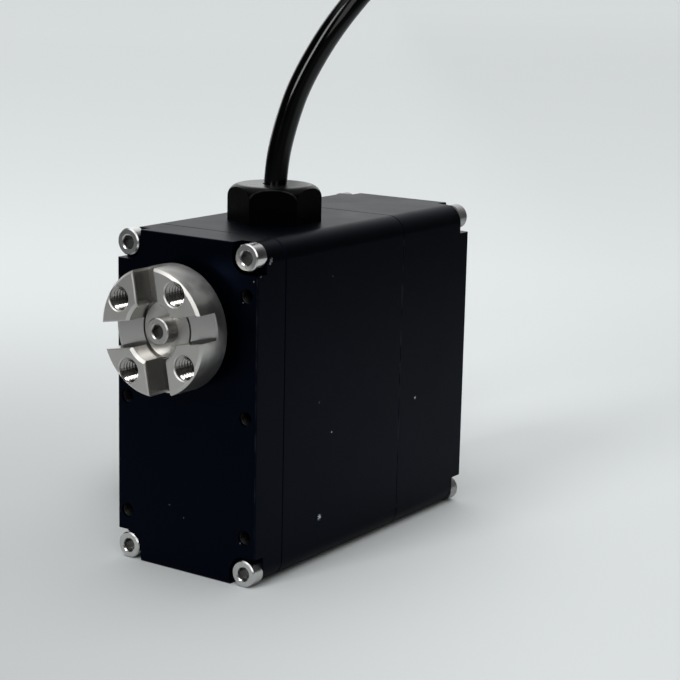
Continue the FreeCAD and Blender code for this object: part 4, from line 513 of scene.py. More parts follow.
@dataclass(frozen=True)
class TurnedHexagon(Anodised):
    """Coated hexagon with a turned shoulder and a painted highlight along the arc of the flat that faces
    the horn's side.
    """

    patch: float = 1.5 * MM
    patch_detail: float = 2.0
    patch_span: Span = (0.3, 0.6)
    patch_least: float = 0.4
    axis_y: float = 0.0
    heading: float = 0.0
    half_flats: float = 7.0 * MM
    shoulder_ring: float = 5.88 * MM
    shoulder_z: float = 61.1 * MM
    shoulder_r: float = 2.2 * MM
    arc_width: float = 0.14 * MM
    arc_core: float = 0.3
    arc_rise: float = 0.5
    arc_highlight_share: float = 0.025
    end_z: float = 63.3 * MM
    end_fade: Span = (0.10 * MM, 0.02 * MM)
    end_gloss: float = 0.5
    end_roughness: float = 0.35
    end_ior: float = 1.4

    def pattern(self, sheet: ShaderSheet) -> None:
        """Draws the coat and the glossier turned end.

        Args:
            sheet: the material in the making.
        """
        super().pattern(sheet)
        _, _, z = sheet.axes()
        low, high = (self.end_z - depth for depth in self.end_fade)
        sheet.feed("Coat Weight", self.end_gloss * z.between(low, high))
        sheet.feed("Coat Roughness", self.end_roughness)
        sheet.feed("Coat IOR", self.end_ior)

    def wear_and_highlight_mask(self, sheet: ShaderSheet) -> Optional[Shade]:
        """Where the highlight along the arc is painted.

        Args:
            sheet: the material in the making.

        Returns:
            A little on the arc, else zero.
        """
        x, y, z = sheet.axes()
        deep = y - self.axis_y
        out = (x.hypotenuse(deep) - self.shoulder_ring).most(0.0)
        up = (z - self.shoulder_z).most(0.0)
        shoulder = out.hypotenuse(up) - self.shoulder_r
        reach = x * math.cos(self.heading) + deep * math.sin(self.heading) - self.half_flats
        fade = (-self.arc_width, -self.arc_core * self.arc_width)
        risen = z.between(self.shoulder_z, self.shoulder_z + self.arc_rise * self.shoulder_r)
        # Painted highlight along the shoulder's arc of one flat
        arc = reach.between(*fade) * shoulder.between(*fade) * risen
        return arc * self.patches(sheet) * self.arc_highlight_share


@dataclass(frozen=True)
class TurnedSteel(Finish):
    """Stainless steel with the fine rings of a lathe round an axis along Y, and a milled cross slot."""

    metallic: float = 1.0
    cloud: float = 3.5 * MM
    cloud_tone: float = 0.9
    cloud_gloss: float = 0.12
    axis_z: float = 0.0
    pitch: float = 0.16 * MM
    ring_depth: float = 0.004 * MM
    ring_gloss: float = 0.05
    ring_drift: float = 3.0
    drift: float = 0.6 * MM
    milled_y: float = BEYOND
    milled_r: float = BEYOND
    milled_gloss: float = 0.20
    slot_turn: float = 0.0
    slot_half: float = 2.15 * MM
    # Painted shade: colour of the upright slots, and of all milled slot floors, as shares
    upright_slot_shade: float = 0.50
    slot_floor_shade: float = 0.85
    # Painted shade on the rim's side, broken by lighter patches
    rim_r: float = BEYOND
    rim_shade_tone: float = 0.62
    rim_patch: float = 4.5 * MM
    rim_patch_detail: float = 2.0
    rim_patch_span: Span = (0.62, 0.38)

    def pattern(self, sheet: ShaderSheet) -> None:
        """Draws rings, their uneven gloss, stains, painted shade in patches on the rim's side, and the
        glossier milled slots with painted shade in them.

        Args:
            sheet: the material in the making.
        """
        x, y, z = sheet.axes()
        up = z - self.axis_z
        radius = x.hypotenuse(up)
        drift = self.ring_drift * sheet.noise(self.drift)
        rings = ((radius + y) * (FULL_TURN / self.pitch) + drift).sine() * HALF + HALF
        turned, gloss = self.clouded(sheet)
        milled = (y > self.milled_y) * (radius < self.milled_r)
        along = abs(x * math.cos(self.slot_turn) + up * math.sin(self.slot_turn))
        athwart = abs(up * math.cos(self.slot_turn) - x * math.sin(self.slot_turn))
        # Painted shade: darkest in the upright slots, darker on all slot floors, and on the rim's side in
        # patches
        first = milled * (along < self.slot_half) * (athwart > self.slot_half)
        rim_patch = sheet.noise(self.rim_patch, self.rim_patch_detail).between(*self.rim_patch_span)
        shaded_rim = sheet.blend(rim_patch * (radius > self.rim_r), turned, self.shaded(self.rim_shade_tone))
        shaded_slots_and_rim = sheet.blend(milled, shaded_rim, self.shaded(self.slot_floor_shade))
        sheet.feed("Base Color", sheet.blend(first, shaded_slots_and_rim, self.shaded(self.upright_slot_shade)))
        sheet.feed("Roughness", gloss + rings.swing(self.ring_gloss) - self.milled_gloss * milled)
        sheet.bump(rings, self.ring_depth)


@dataclass(frozen=True)
class DrawnMetal(Finish):
    """Metal with fine marks drawn out along one axis."""

    metallic: float = 1.0
    cloud: float = 1.8 * MM
    cloud_gloss: float = 0.08
    stretch: Point = (1.0, 12.0, 1.0)
    mark: float = 0.12 * MM
    mark_detail: float = 2.0
    mark_gloss: float = 0.12
    mark_depth: float = 0.003 * MM

    def pattern(self, sheet: ShaderSheet) -> None:
        """Draws the marks in gloss and relief, and faint stains in colour.

        Args:
            sheet: the material in the making.
        """
        marks = sheet.noise(self.mark, self.mark_detail, self.stretch)
        colour, gloss = self.clouded(sheet)
        sheet.feed("Base Color", colour)
        sheet.feed("Roughness", gloss + marks.swing(self.mark_gloss))
        sheet.bump(marks, self.mark_depth)


@dataclass(frozen=True)
class SocketSteel(DrawnMetal):
    """Bright screw steel with painted shade in its sockets."""

    axis_x: float = 0.0
    middle_z: float = 0.0
    axis_up: float = 0.0
    socket_r: float = 1.12 * MM
    socket_rim: float = 0.06 * MM
    # Painted shade in the sockets and on the heads' sides, as shares of the colour
    socket_shade: float = 0.28
    side_r: float = BEYOND
    head_side_shade: float = 0.45

    def clouded(self, sheet: ShaderSheet) -> Tuple[Shade, Shade]:
        """Colour and gloss with painted shade in the sockets and, beyond side_r, on the sides of the heads.

        Args:
            sheet: the material in the making.

        Returns:
            The colour and the roughness.
        """
        steel, gloss = super().clouded(sheet)
        x, _, z = sheet.axes()
        radius = (abs(x) - self.axis_x).hypotenuse(abs(z - self.middle_z) - self.axis_up)
        # Painted shade on the sides of the heads and in the sockets
        head = sheet.blend(radius > self.side_r, steel, self.shaded(self.head_side_shade))
        inside = radius.between(self.socket_r + self.socket_rim, self.socket_r)
        return sheet.blend(inside, head, self.shaded(self.socket_shade)), gloss


@dataclass(frozen=True)
class Moulded(Finish):
    """Plastic or rubber out of a mould or an extruder, with a fine skin."""

    cloud: float = 5.0 * MM
    cloud_detail: float = 2.0
    cloud_tone: float = 0.75
    cloud_gloss: float = 0.12
    skin: float = 0.3 * MM
    skin_depth: float = 0.006 * MM

    def pattern(self, sheet: ShaderSheet) -> None:
        """Draws the clouds and the skin."""
        super().pattern(sheet)
        sheet.bump(sheet.noise(self.skin), self.skin_depth)


@dataclass(frozen=True)
class CircuitBoard(Finish):
    """Solder mask over glass fibre, with buried traces and tinned pads."""

    weave: float = 0.5 * MM
    weave_gloss: float = 0.06
    weave_share: float = 0.2
    trace: float = 1.3 * MM
    trace_span: Span = (0.75, 0.9)
    trace_tone: float = 1.9
    trace_bend: float = 9.0
    bend: float = 5.0 * MM
    bend_detail: float = 1.0
    relief: float = 0.02 * MM
    pad: Colour = (0.75, 0.74, 0.70)
    pad_spacing: float = 2.6 * MM
    pad_r: float = 0.45 * MM

    def pattern(self, sheet: ShaderSheet) -> None:
        """Draws the weave, the traces under the mask and the pads.

        Args:
            sheet: the material in the making.
        """
        x, _, z = sheet.axes()
        weave = (x * (FULL_TURN / self.weave)).sine() * (z * (FULL_TURN / self.weave)).sine()
        bend = self.trace_bend * sheet.noise(self.bend, self.bend_detail)
        traces = abs((x * (FULL_TURN / self.trace) + bend).sine()).between(*self.trace_span)
        pads = sheet.specks(self.pad_spacing, self.pad_r)
        mask = sheet.blend(traces, self.colour, self.shaded(self.trace_tone))
        sheet.feed("Base Color", sheet.blend(pads, mask, self.pad))
        sheet.feed("Metallic", pads)
        sheet.feed("Roughness", self.roughness + self.weave_gloss * weave)
        sheet.bump(traces + self.weave_share * weave, self.relief)


@dataclass(frozen=True)
class Sintered(Finish):
    """Pressed and baked powder: dull, with tiny bright crystals."""

    pore: float = 0.2 * MM
    pore_detail: float = 4.0
    pore_gloss: float = 0.2
    pore_depth: float = 0.01 * MM
    crystal: Colour = (0.25, 0.25, 0.26)
    crystal_spacing: float = 0.4 * MM
    crystal_r: float = 0.06 * MM
    crystal_tone: float = 0.6

    def pattern(self, sheet: ShaderSheet) -> None:
        """Draws the crystals and pores.

        Args:
            sheet: the material in the making.
        """
        pores = sheet.noise(self.pore, self.pore_detail)
        crystals = self.crystal_tone * sheet.specks(self.crystal_spacing, self.crystal_r)
        sheet.feed("Base Color", sheet.blend(crystals, self.colour, self.crystal))
        sheet.feed("Roughness", self.roughness + pores.swing(self.pore_gloss))
        sheet.bump(pores, self.pore_depth)


@dataclass(frozen=True)
class WoundWire(Finish):
    """Enamelled wire laid turn beside turn."""

    metallic: float = 0.8
    cloud: float = 1.0 * MM
    wire: float = 0.22 * MM
    wire_depth: float = 0.06 * MM
    slant: float = 0.7
    gap_span: Span = (0.1, 0.5)
    # Painted shade in the gaps between turns
    gap_shade: float = 0.3

    def pattern(self, sheet: ShaderSheet) -> None:
        """Draws the turns as ridges with painted shade in the gaps.

        Args:
            sheet: the material in the making.
        """
        x, y, z = sheet.axes()
        lay = (x + z) * self.slant + y
        ridge = abs((lay * (math.pi / self.wire)).sine())
        gaps = ridge.between(*self.gap_span)
        sheet.feed("Base Color", sheet.blend(gaps, self.shaded(self.gap_shade), self.colour))
        sheet.feed("Roughness", self.roughness + sheet.noise(self.cloud).swing(self.cloud_gloss))
        sheet.bump(ridge, self.wire_depth)


@dataclass(frozen=True)
class LeadSet(Finish):
    """Three insulated leads side by side along X, each with its own colour."""

    cloud: float = 1.2 * MM
    cloud_detail: float = 2.0
    cloud_gloss: float = 0.15
    middle: float = 0.0
    half_pitch: float = 1.0 * MM
    left: Colour = (0.05, 0.02, 0.012)
    right: Colour = (0.62, 0.20, 0.03)
    skin: float = 0.25 * MM
    skin_depth: float = 0.008 * MM

    def pattern(self, sheet: ShaderSheet) -> None:
        """Colours each lead by where it lies.

        Args:
            sheet: the material in the making.
        """
        x, _, _ = sheet.axes()
        worn, gloss = self.clouded(sheet)
        with_left = sheet.blend(x < self.middle - self.half_pitch, worn, self.left)
        with_right = sheet.blend(x > self.middle + self.half_pitch, with_left, self.right)
        sheet.feed("Base Color", with_right)
        sheet.feed("Roughness", gloss)
        sheet.bump(sheet.noise(self.skin), self.skin_depth)


@dataclass(frozen=True)
class Woven(Finish):
    """Hook-and-loop strap: coarse threads with a fuzzy pile."""

    thread: float = 0.55 * MM
    thread_share: float = 0.6
    pile: float = 0.3 * MM
    pile_detail: float = 4.0
    pile_share: float = 0.4
    # Painted shade between the threads
    gap_shade: float = 0.4
    depth: float = 0.15 * MM

    def pattern(self, sheet: ShaderSheet) -> None:
        """Draws warp and weft and the pile over them, with painted shade between the threads and random
        tone in the pile.

        Args:
            sheet: the material in the making.
        """
        x, y, z = sheet.axes()
        along = (x + z) * (FULL_TURN / self.thread)
        across = y * (FULL_TURN / self.thread)
        weave = along.sine() * across.sine() * HALF + HALF
        pile = sheet.noise(self.pile, self.pile_detail)
        cloth = weave * self.thread_share + pile * self.pile_share
        sheet.feed("Base Color", sheet.blend(cloth, self.shaded(self.gap_shade), self.colour))
        sheet.feed("Roughness", self.roughness)
        sheet.bump(cloth, self.depth)


def dress(finish: Finish, *names: str) -> None:
    """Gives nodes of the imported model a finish.

    Args:
        finish: what they get.
        names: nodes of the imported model.
    """
    material = finish.material()
    for name in names:
        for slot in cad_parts[name].material_slots:
            slot.material = material
        LOG.info("%s: %s", name, finish.name)


def new_piece(
    name: str, data: bpy.types.ID, material: bpy.types.Material, body: Body,
) -> bpy.types.Object:
    """Adds a piece to the scene and lets it ride.

    Args:
        name: piece name.
        data: its mesh or curve.
        material: its finish.
        body: moving group that carries it.

    Returns:
        The new object.
    """
    piece = bpy.data.objects.new(name, data)
    data.materials.append(material)
    bpy.context.scene.collection.objects.link(piece)
    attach(piece, body.value)
    LOG.info("%s: built, rides on %s", name, body.value)
    return piece


def mesh_from(name: str, points: Sequence[Point], faces: Sequence[Face], smooth: bool) -> bpy.types.Mesh:
    """Makes a mesh with outward normals.

    Args:
        name: mesh name.
        points: its corners.
        faces: its faces as corner numbers.
        smooth: whether it shades smoothly.

    Returns:
        The mesh.
    """
    mesh = bpy.data.meshes.new(name)
    mesh.from_pydata(points, [], faces)
    work = bmesh.new()
    work.from_mesh(mesh)
    bmesh.ops.recalc_face_normals(work, faces=work.faces)
    for face in work.faces:
        face.smooth = smooth
    work.to_mesh(mesh)
    work.free()
    return mesh


@dataclass
class PhotoCamera:
    """The camera that took the photograph."""

    eye: Point = (0.184189, -0.257255, 0.101578)
    yaw: float = math.radians(34.352)
    pitch: float = math.radians(11.938)
    roll: float = math.radians(1.259)
    focal_pixels: float = 1814.238
    sensor: float = 36.0
    nearest: float = 0.01

    def build(self) -> None:
        """Adds the camera and makes it the scene's own."""
        data = bpy.data.cameras.new("PhotoCamera")
        data.sensor_fit = "HORIZONTAL"
        data.sensor_width = self.sensor
        data.lens = self.focal_pixels * self.sensor / PHOTO_SIDE
        data.clip_start = self.nearest
        camera = bpy.data.objects.new("PhotoCamera", data)
        flat = Vector((math.cos(self.yaw), math.sin(self.yaw), 0.0))
        back = Vector((
            math.sin(self.yaw) * math.cos(self.pitch),
            -math.cos(self.yaw) * math.cos(self.pitch),
            math.sin(self.pitch),
        ))
        rise = back.cross(flat)
        right = math.cos(self.roll) * flat + math.sin(self.roll) * rise
        up = -math.sin(self.roll) * flat + math.cos(self.roll) * rise
        turn = Matrix((right, up, back)).transposed().to_4x4()
        camera.matrix_world = Matrix.Translation(self.eye) @ turn
        bpy.context.scene.collection.objects.link(camera)
        bpy.context.scene.camera = camera
        LOG.info("camera: lens %.2f mm", data.lens)


@dataclass(frozen=True)
class SoftBox:
    """A large studio lamp that points at a target."""

    name: str
    place: Point
    target: Point
    width: float
    height: float
    power: float

    def build(self) -> None:
        """Adds the lamp."""
        data = bpy.data.lights.new(self.name, "AREA")
        data.shape = "RECTANGLE"
        data.size = self.width
        data.size_y = self.height
        data.energy = self.power
        lamp = bpy.data.objects.new(self.name, data)
        aim = Vector(self.target) - Vector(self.place)
        turn = aim.to_track_quat("-Z", "Y").to_matrix().to_4x4()
        lamp.matrix_world = Matrix.Translation(self.place) @ turn
        bpy.context.scene.collection.objects.link(lamp)
        LOG.info("%s: %.1f W", self.name, self.power)


@dataclass
class Studio:
    """Pale table, soft surroundings and lamps."""

    table_half: float = 9.0
    table_colour: Colour = (0.765, 0.795, 0.80)
    table_shade: Colour = (0.07, 0.07, 0.075)
    table_roughness: float = 0.9
    table_specular: float = 0.1
    away: Point = (-0.564, 0.826, 0.0)
    right: Point = (0.826, 0.564, 0.0)
    # Painted light on the paper in the middle, and where it fades to painted shade near, right and left
    painted_light: float = 0.65
    near_span: Span = (-0.25, -0.06)
    right_span: Span = (0.31, 0.15)
    left_span: Span = (0.28, 0.18)
    widening: float = 0.25
    widens_from: float = 0.25
    # Painted light gained far off and at the horizon, and painted shade on the right
    far_gain: float = 0.31
    far_span: Span = (-0.08, 0.30)
    horizon_gain: float = 0.08
    horizon_span: Span = (0.5, 3.5)
    right_loss: float = 0.05
    loss_span: Span = (0.04, 0.12)
    # How its painted light leans from left to right in front of the servo
    lean: float = 0.24
    lean_middle: float = 0.6
    lean_across: Span = (-0.07, 0.05)
    lean_away: Span = (0.22, 0.02)
    cloud: float = 0.3
    cloud_detail: float = 2.0
    cloud_tone: float = 0.02
    sky_colour: Colour = (0.985, 0.995, 1.0)
    sky_base: float = 0.03
    sky_top: float = 1.86
    sky_top_span: Span = (0.62, 0.95)
    sky_back: float = 1.25
    sky_back_span: Span = (0.45, 0.90)
    lamps: List[SoftBox] = field(default_factory=lambda: [
        SoftBox("KeyLamp", (0.47, -0.46, 0.42), (0.0, -0.02, 0.04), 0.36, 0.60, 1.3),
        SoftBox("StripLamp", (-0.101, -0.793, 0.514), (0.014, 0.027, 0.159), 0.24, 0.60, 4.6),
    ])

    def build(self) -> None:
        """Builds table, surroundings and lamps."""
        bpy.context.scene.view_settings.view_transform = "Standard"
        self._table()
        self._surroundings()
        for lamp in self.lamps:
            lamp.build()

    def _table(self) -> None:
        """Adds the table top that keeps the shadow, with painted light and painted shade on it."""
        h = self.table_half
        mesh = bpy.data.meshes.new("Table")
        mesh.from_pydata([(-h, -h, 0), (h, -h, 0), (h, h, 0), (-h, h, 0)], [], [(0, 1, 2, 3)])
        table = bpy.data.objects.new("Table", mesh)
        sheet = ShaderSheet("TablePaper")
        cloud = sheet.noise(self.cloud, self.cloud_detail).swing(self.cloud_tone)
        depth = sheet.towards(self.away)
        side = sheet.towards(self.right)
        wider = self.widening * (depth - self.widens_from).most(0.0)
        # Painted light in the middle of the table, painted shade near, right and left
        painted_pool = (side - wider).between(*self.right_span) * (0.0 - side - wider).between(*self.left_span)
        lean = self.lean * (side.between(*self.lean_across) - self.lean_middle)
        far = self.far_gain * depth.between(*self.far_span)
        horizon = self.horizon_gain * depth.between(*self.horizon_span)
        loss = self.right_loss * side.between(*self.loss_span)
        painted_light = self.painted_light + far + horizon + lean * depth.between(*self.lean_away) - loss
        lit = depth.between(*self.near_span) * painted_pool * painted_light + cloud
        sheet.feed("Base Color", sheet.blend(lit, self.table_shade, self.table_colour))
        sheet.feed("Roughness", self.table_roughness)
        sheet.feed("Specular IOR Level", self.table_specular)
        mesh.materials.append(sheet.material)
        bpy.context.scene.collection.objects.link(table)

    def _surroundings(self) -> None:
        """Lights the scene from all round, less from where the photographer stands."""
        world = bpy.data.worlds.new("Surroundings")
        bpy.context.scene.world = world
        world.use_nodes = True
        glow = world.node_tree.nodes["Background"]
        sheet = ShaderSheet("SurroundingsSheet", world.node_tree)
        _, _, height = sheet.axes()
        top = self.sky_top * height.between(*self.sky_top_span)
        back = self.sky_back * sheet.towards(self.away).between(*self.sky_back_span)
        sheet.join(glow.inputs["Strength"], top + back + self.sky_base)
        glow.inputs["Color"].default_value = (*self.sky_colour, 1.0)


@dataclass
class Cable:
    """Round cable: the rise shown, an arch, and a put-away hank behind the servo."""

    radius: float = 2.0 * MM
    length: float = 0.945
    rise: Tuple[Point, ...] = (
        (0.0, -0.0086, 0.0586),
        (0.0, -0.0086, 0.0658),
        (0.00163, -0.00749, 0.0745),
        (0.00373, -0.00605, 0.08155),
        (0.00852, -0.00275, 0.09145),
        (0.01392, 0.00619, 0.10227),
        (0.00853, 0.02146, 0.119),
        (-0.00389, 0.03962, 0.119),
        (-0.01663, 0.05029, 0.104),
        (-0.02488, 0.04707, 0.08941),
        (-0.03137, 0.04264, 0.07766),
        (-0.03386, 0.04094, 0.06925),
        (-0.03592, 0.03953, 0.057),
        (-0.0405, 0.0395, 0.0367),
        (-0.042, 0.03305, 0.0255),
        (-0.0425, 0.02185, 0.01905),
        (-0.0425, 0.00895, 0.01905),
    )
    hank_x: float = -30.5 * MM
    front_y: float = 8.5 * MM
    rear_y: float = 52.5 * MM
    fold: float = 12.0 * MM
    fold_points: int = 6
    lead: float = 3.2 * MM
    ramp_start: float = 22.0 * MM
    ramp_end: float = 44.0 * MM
    top_z: float = 19.0 * MM
    layer: float = 4.0 * MM
    turns: int = 4
    tail: Tuple[Point, ...] = (
        (-0.0185, 0.0136, 0.0028),
        (-0.02172, 0.01918, 0.0025),
        (-0.02728, 0.02222, 0.0023),
        (-0.0305, 0.02779, 0.0023),
        (-0.0305, 0.031, 0.0023),
    )
    rim_steps: int = 7
    line_steps: int = 10
    order: int = 3

    def _fold(self, centre_y: float, start: float, height: float) -> List[Point]:
        """Half a turn round one end of the hank.

        Args:
            centre_y: middle of the fold.
            start: angle where it begins.
            height: height of the layer.

        Returns:
            Control points of the fold.
        """
        step = math.pi / self.fold_points
        reach = self.fold / math.cos(HALF * step)
        points = []
        for i in range(self.fold_points):
            angle = start + (i + HALF) * step
            x = self.hank_x + reach * math.cos(angle)
            y = centre_y + reach * math.sin(angle)
            points.append((x, y, height))
        return points

    def _hank(self) -> List[Point]:
        """Turns of the hank from its top layer down to the one on the table.

        Returns:
            Control points of all turns.
        """
        left = self.hank_x - self.fold
        right = self.hank_x + self.fold
        points: List[Point] = []
        for turn in range(self.turns):
            high = self.top_z - turn * self.layer
            low = high - self.layer
            points += self._fold(self.front_y, math.pi, high)
            points.append((right, self.front_y + self.lead, high))
            points.append((right, self.ramp_start, high))
            points.append((right, self.ramp_end, low))
            points.append((right, self.rear_y - self.lead, low))
            points += self._fold(self.rear_y, 0.0, low)
            points.append((left, self.rear_y - self.lead, low))
            points.append((left, self.front_y + self.lead, low))
        points += self._fold(self.front_y, math.pi, self.top_z - self.turns * self.layer)
        return points

    def build(self, finish: Finish) -> None:
        """Lays the cable as one smooth line.

        Args:
            finish: the jacket's finish.
        """
        curve = bpy.data.curves.new("CableJacket", "CURVE")
        curve.dimensions = "3D"
        curve.bevel_depth = self.radius
        curve.bevel_resolution = self.rim_steps
        curve.resolution_u = self.line_steps
        curve.use_fill_caps = True
        spline = curve.splines.new("NURBS")
        points = list(self.rise) + self._hank() + list(self.tail)
        spline.points.add(len(points) - 1)
        for knot, point in zip(spline.points, points):
            knot.co = (*point, 1.0)
        spline.order_u = self.order
        spline.use_endpoint_u = True
        cable = new_piece("CableJacket", curve, finish.material(), Body.HOUSING)
        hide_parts("cable", "cable_hank")


@dataclass
class HankStrap:
    """Strap that ties the hank, with its loose end lapped over on top."""

    left: float = -45.8 * MM
    right: float = -15.2 * MM
    top: float = 18.3 * MM
    front: float = 44.0 * MM
    width: float = 10.0 * MM
    thick: float = 1.0 * MM
    soft_edge: float = 0.25 * MM
    corner: float = 3.0 * MM
    corner_steps: int = 8
    lap: float = 11.0 * MM
    lap_inset: float = 0.5 * MM
    lap_sunk: float = 0.2 * MM
    # Heights of the lapped end over the band, from its free edge to its root
    lap_heights: Tuple[float, ...] = (0.315 * MM, 0.9 * MM, 0.9 * MM, 0.09 * MM)

    def _loop(self, inset: float, y: float) -> List[Point]:
        """Rounded loop in a plane across the hank.

        Args:
            inset: distance inside the outer face.
            y: place of the plane.

        Returns:
            Points of the loop, from the top right corner round.
        """
        r = self.corner - inset
        quarter = HALF * math.pi
        corners = (
            (self.right - self.corner, self.top - self.corner),
            (self.left + self.corner, self.top - self.corner),
            (self.left + self.corner, self.corner),
            (self.right - self.corner, self.corner),
        )
        loop = []
        for number, (x, z) in enumerate(corners):
            for i in range(self.corner_steps + 1):
                angle = quarter * (number + i / self.corner_steps)
                loop.append((x + r * math.cos(angle), y, z + r * math.sin(angle)))
        return loop

    def _band(self) -> Shell:
        """The band round the hank.

        Returns:
            Corner points and faces.
        """
        soft = self.soft_edge
        rear = self.front + self.width
        rows = (
            (0.0, self.front + soft), (0.0, rear - soft), (soft, rear), (self.thick - soft, rear),
            (self.thick, rear - soft), (self.thick, self.front + soft),
            (self.thick - soft, self.front), (soft, self.front),
        )
        loops = [self._loop(inset, y) for inset, y in rows]
        count = len(loops[0])
        faces = []
        for row in range(len(rows)):
            here = row * count
            there = (row + 1) % len(rows) * count
            for i in range(count):
                j = (i + 1) % count
                faces.append((here + i, here + j, there + j, there + i))
        return [p for loop in loops for p in loop], faces

    def _lapped_end(self, start: int) -> Shell:
        """The loose end on top.

        Args:
            start: number of its first corner.

        Returns:
            Corner points and faces.
        """
        last = self.right - 2 * self.corner
        first = last - self.lap
        line = (first, first + self.thick, last - self.thick, last)
        sides = (self.front + self.lap_inset, self.front + self.width - self.lap_inset)
        points = []
        for x, z in zip(line, self.lap_heights):
            for y in sides:
                points += [(x, y, self.top + z), (x, y, self.top - self.lap_sunk)]
        ring = 2 * len(sides)
        faces = []
        for i in range(len(line) - 1):
            a = start + ring * i
            b = a + ring
            faces += [(a, b, b + 2, a + 2), (a + 1, a + 3, b + 3, b + 1)]
            faces += [(a, a + 1, b + 1, b), (a + 2, b + 2, b + 3, a + 3)]
        end = start + ring * (len(line) - 1)
        faces += [(start, start + 2, start + 3, start + 1), (end, end + 1, end + 3, end + 2)]
        return points, faces

    def build(self, finish: Finish) -> None:
        """Builds the band and its lapped end.

        Args:
            finish: the strap's finish.
        """
        points, faces = self._band()
        more, lapped = self._lapped_end(len(points))
        mesh = mesh_from("HankStrap", points + more, faces + lapped, True)
        strap = new_piece("HankStrap", mesh, finish.material(), Body.HOUSING)
        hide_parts("hank_tie")


@dataclass
class TappedHoles:
    """Screw threads cut into a set of equal holes along Y."""

    name: str
    centres: Tuple[Tuple[float, float], ...]
    face_y: float
    start: float
    depth: float
    outer: float
    inner: float
    pitch: float
    steps: int = 28
    # Half widths of the ridge, as shares of the pitch
    root_half: float = 0.44
    crest_half: float = 0.07

    def _ridge(self, x: float, z: float) -> Shell:
        """Helical ridge of one hole.

        Args:
            x: hole axis across.
            z: hole axis height.

        Returns:
            Corner points and faces.
        """
        profile = (
            (self.outer, -self.root_half), (self.inner, -self.crest_half),
            (self.inner, self.crest_half), (self.outer, self.root_half),
        )
        count = int((self.depth - self.start) / self.pitch * self.steps)
        points = []
        faces = []
        for i in range(count + 1):
            angle = FULL_TURN * i / self.steps
            level = self.face_y + self.start + self.pitch * i / self.steps
            for radius, shift in profile:
                across = x + radius * math.cos(angle)
                points.append((across, level + shift * self.pitch, z + radius * math.sin(angle)))
        for i in range(count):
            for j in range(len(profile) - 1):
                a = i * len(profile) + j
                b = a + len(profile)
                faces.append((a, b, b + 1, a + 1))
        return points, faces

    def build(self, finish: Finish, body: Body, slot: str) -> None:
        """Builds the threads of all holes as one piece.

        Args:
            finish: finish of the threads.
            body: moving group that carries them.
            slot: material slot of the record; not used.
        """
        points: List[Point] = []
        faces: List[Face] = []
        for x, z in self.centres:
            more, ring = self._ridge(x, z)
            base = len(points)
            points += more
            faces += [tuple(base + k for k in face) for face in ring]
        mesh = mesh_from(self.name, points, faces, False)
        new_piece(self.name, mesh, finish.material(), body)


@dataclass
class Housing:
    """Three anodised shells with their tapped face holes."""

    front_y: float = -32.5 * MM
    hole_x: float = 12.5 * MM
    hole_z: Tuple[float, ...] = (8.5 * MM, 28.5 * MM, 48.5 * MM)
    hole_r: float = 1.25 * MM
    hole_pitch: float = 0.5 * MM
    chips_and_glints: Tuple[ChipAndGlint, ...] = (
        ChipAndGlint((0.0146, -0.01162, 0.04936), 0.14 * MM, 0.12),
        ChipAndGlint((0.0146, -0.01485, 0.02823), 0.18 * MM, 0.12),
        ChipAndGlint((0.0146, -0.01102, 0.02233), 0.13 * MM),
        ChipAndGlint((0.0146, 0.01539, 0.02335), 0.20 * MM),
        ChipAndGlint((0.0146, -0.01418, 0.0080), 0.40 * MM),
        ChipAndGlint((-0.00328, -0.0325, 0.0112), 0.13 * MM, 0.08),
        ChipAndGlint((-0.00021, -0.0325, 0.0095), 0.12 * MM, 0.08),
        ChipAndGlint((0.0146, -0.02895, 0.0541), 0.30 * MM),
        ChipAndGlint((0.0146, -0.0286, 0.0544), 0.18 * MM),
        ChipAndGlint((0.0146, -0.0292, 0.0537), 0.20 * MM),
        ChipAndGlint((0.0146, -0.03157, 0.05186), 0.16 * MM, 0.35),
        ChipAndGlint((0.01387, -0.0325, 0.05107), 0.11 * MM, 0.45),
        # Painted glints on the rims of the right-hand face holes, at their lower left
        ChipAndGlint((0.0118, -0.0325, 0.0475), 0.12 * MM, 0.25),
        ChipAndGlint((0.0118, -0.0325, 0.02795), 0.14 * MM, 0.2),
        ChipAndGlint((0.01168, -0.0325, 0.0075), 0.14 * MM, 0.2),
        # Painted glints round the foot of the gland, on the housing's top
        ChipAndGlint((0.0027, -0.0142, 0.057), 0.16 * MM),
        ChipAndGlint((0.00621, -0.01062, 0.057), 0.12 * MM),
        ChipAndGlint((-0.0036, -0.01532, 0.057), 0.12 * MM),
    )
    edges: Tuple[WearAndHighlightEdge, ...] = (
        # Front right upright edge: worn, with a painted highlight along it
        WearAndHighlightEdge((0.0145, -0.0324, 0.0055), (0.0145, -0.0324, 0.0515)),
        WearAndHighlightEdge((-0.0145, -0.0324, 0.0055), (-0.0145, -0.0324, 0.0515)),
        WearAndHighlightEdge((-0.0095, -0.0324, 0.0001), (0.0095, -0.0324, 0.0001)),
        # Painted highlight along a seam of the right side
        WearAndHighlightEdge((0.0146, 0.0101, 0.004), (0.0146, 0.0101, 0.053), 0.30 * MM, 0.030),
    )
    thread_start: float = 0.4 * MM
    thread_depth: float = 4.6 * MM
    thread_root: float = 0.01 * MM
    thread_height: float = 0.13 * MM

    def build(self) -> None:
        """Dresses the shells and cuts the threads."""
        coat = Anodised(
            "BlackAnodised", (0.0002, 0.0004, 0.0008), 0.37, ior=1.11, tint=(0.45, 0.9, 2.4),
            chips_and_glints=self.chips_and_glints, edges=self.edges)
        dress(coat, "front_cover", "main_housing", "rear_cover")
        threads = TappedHoles(
            "FaceHoleThreads", tuple((side * self.hole_x, z) for side in (-1, 1) for z in self.hole_z),
            self.front_y, self.thread_start, self.thread_depth, outer=self.hole_r + self.thread_root,
            inner=self.hole_r - self.thread_height, pitch=self.hole_pitch)
        bare = Anodised("ThreadCoat", (0.001, 0.0015, 0.003), 0.35, ior=1.3)
        threads.build(bare, Body.HOUSING, "black_anodised")


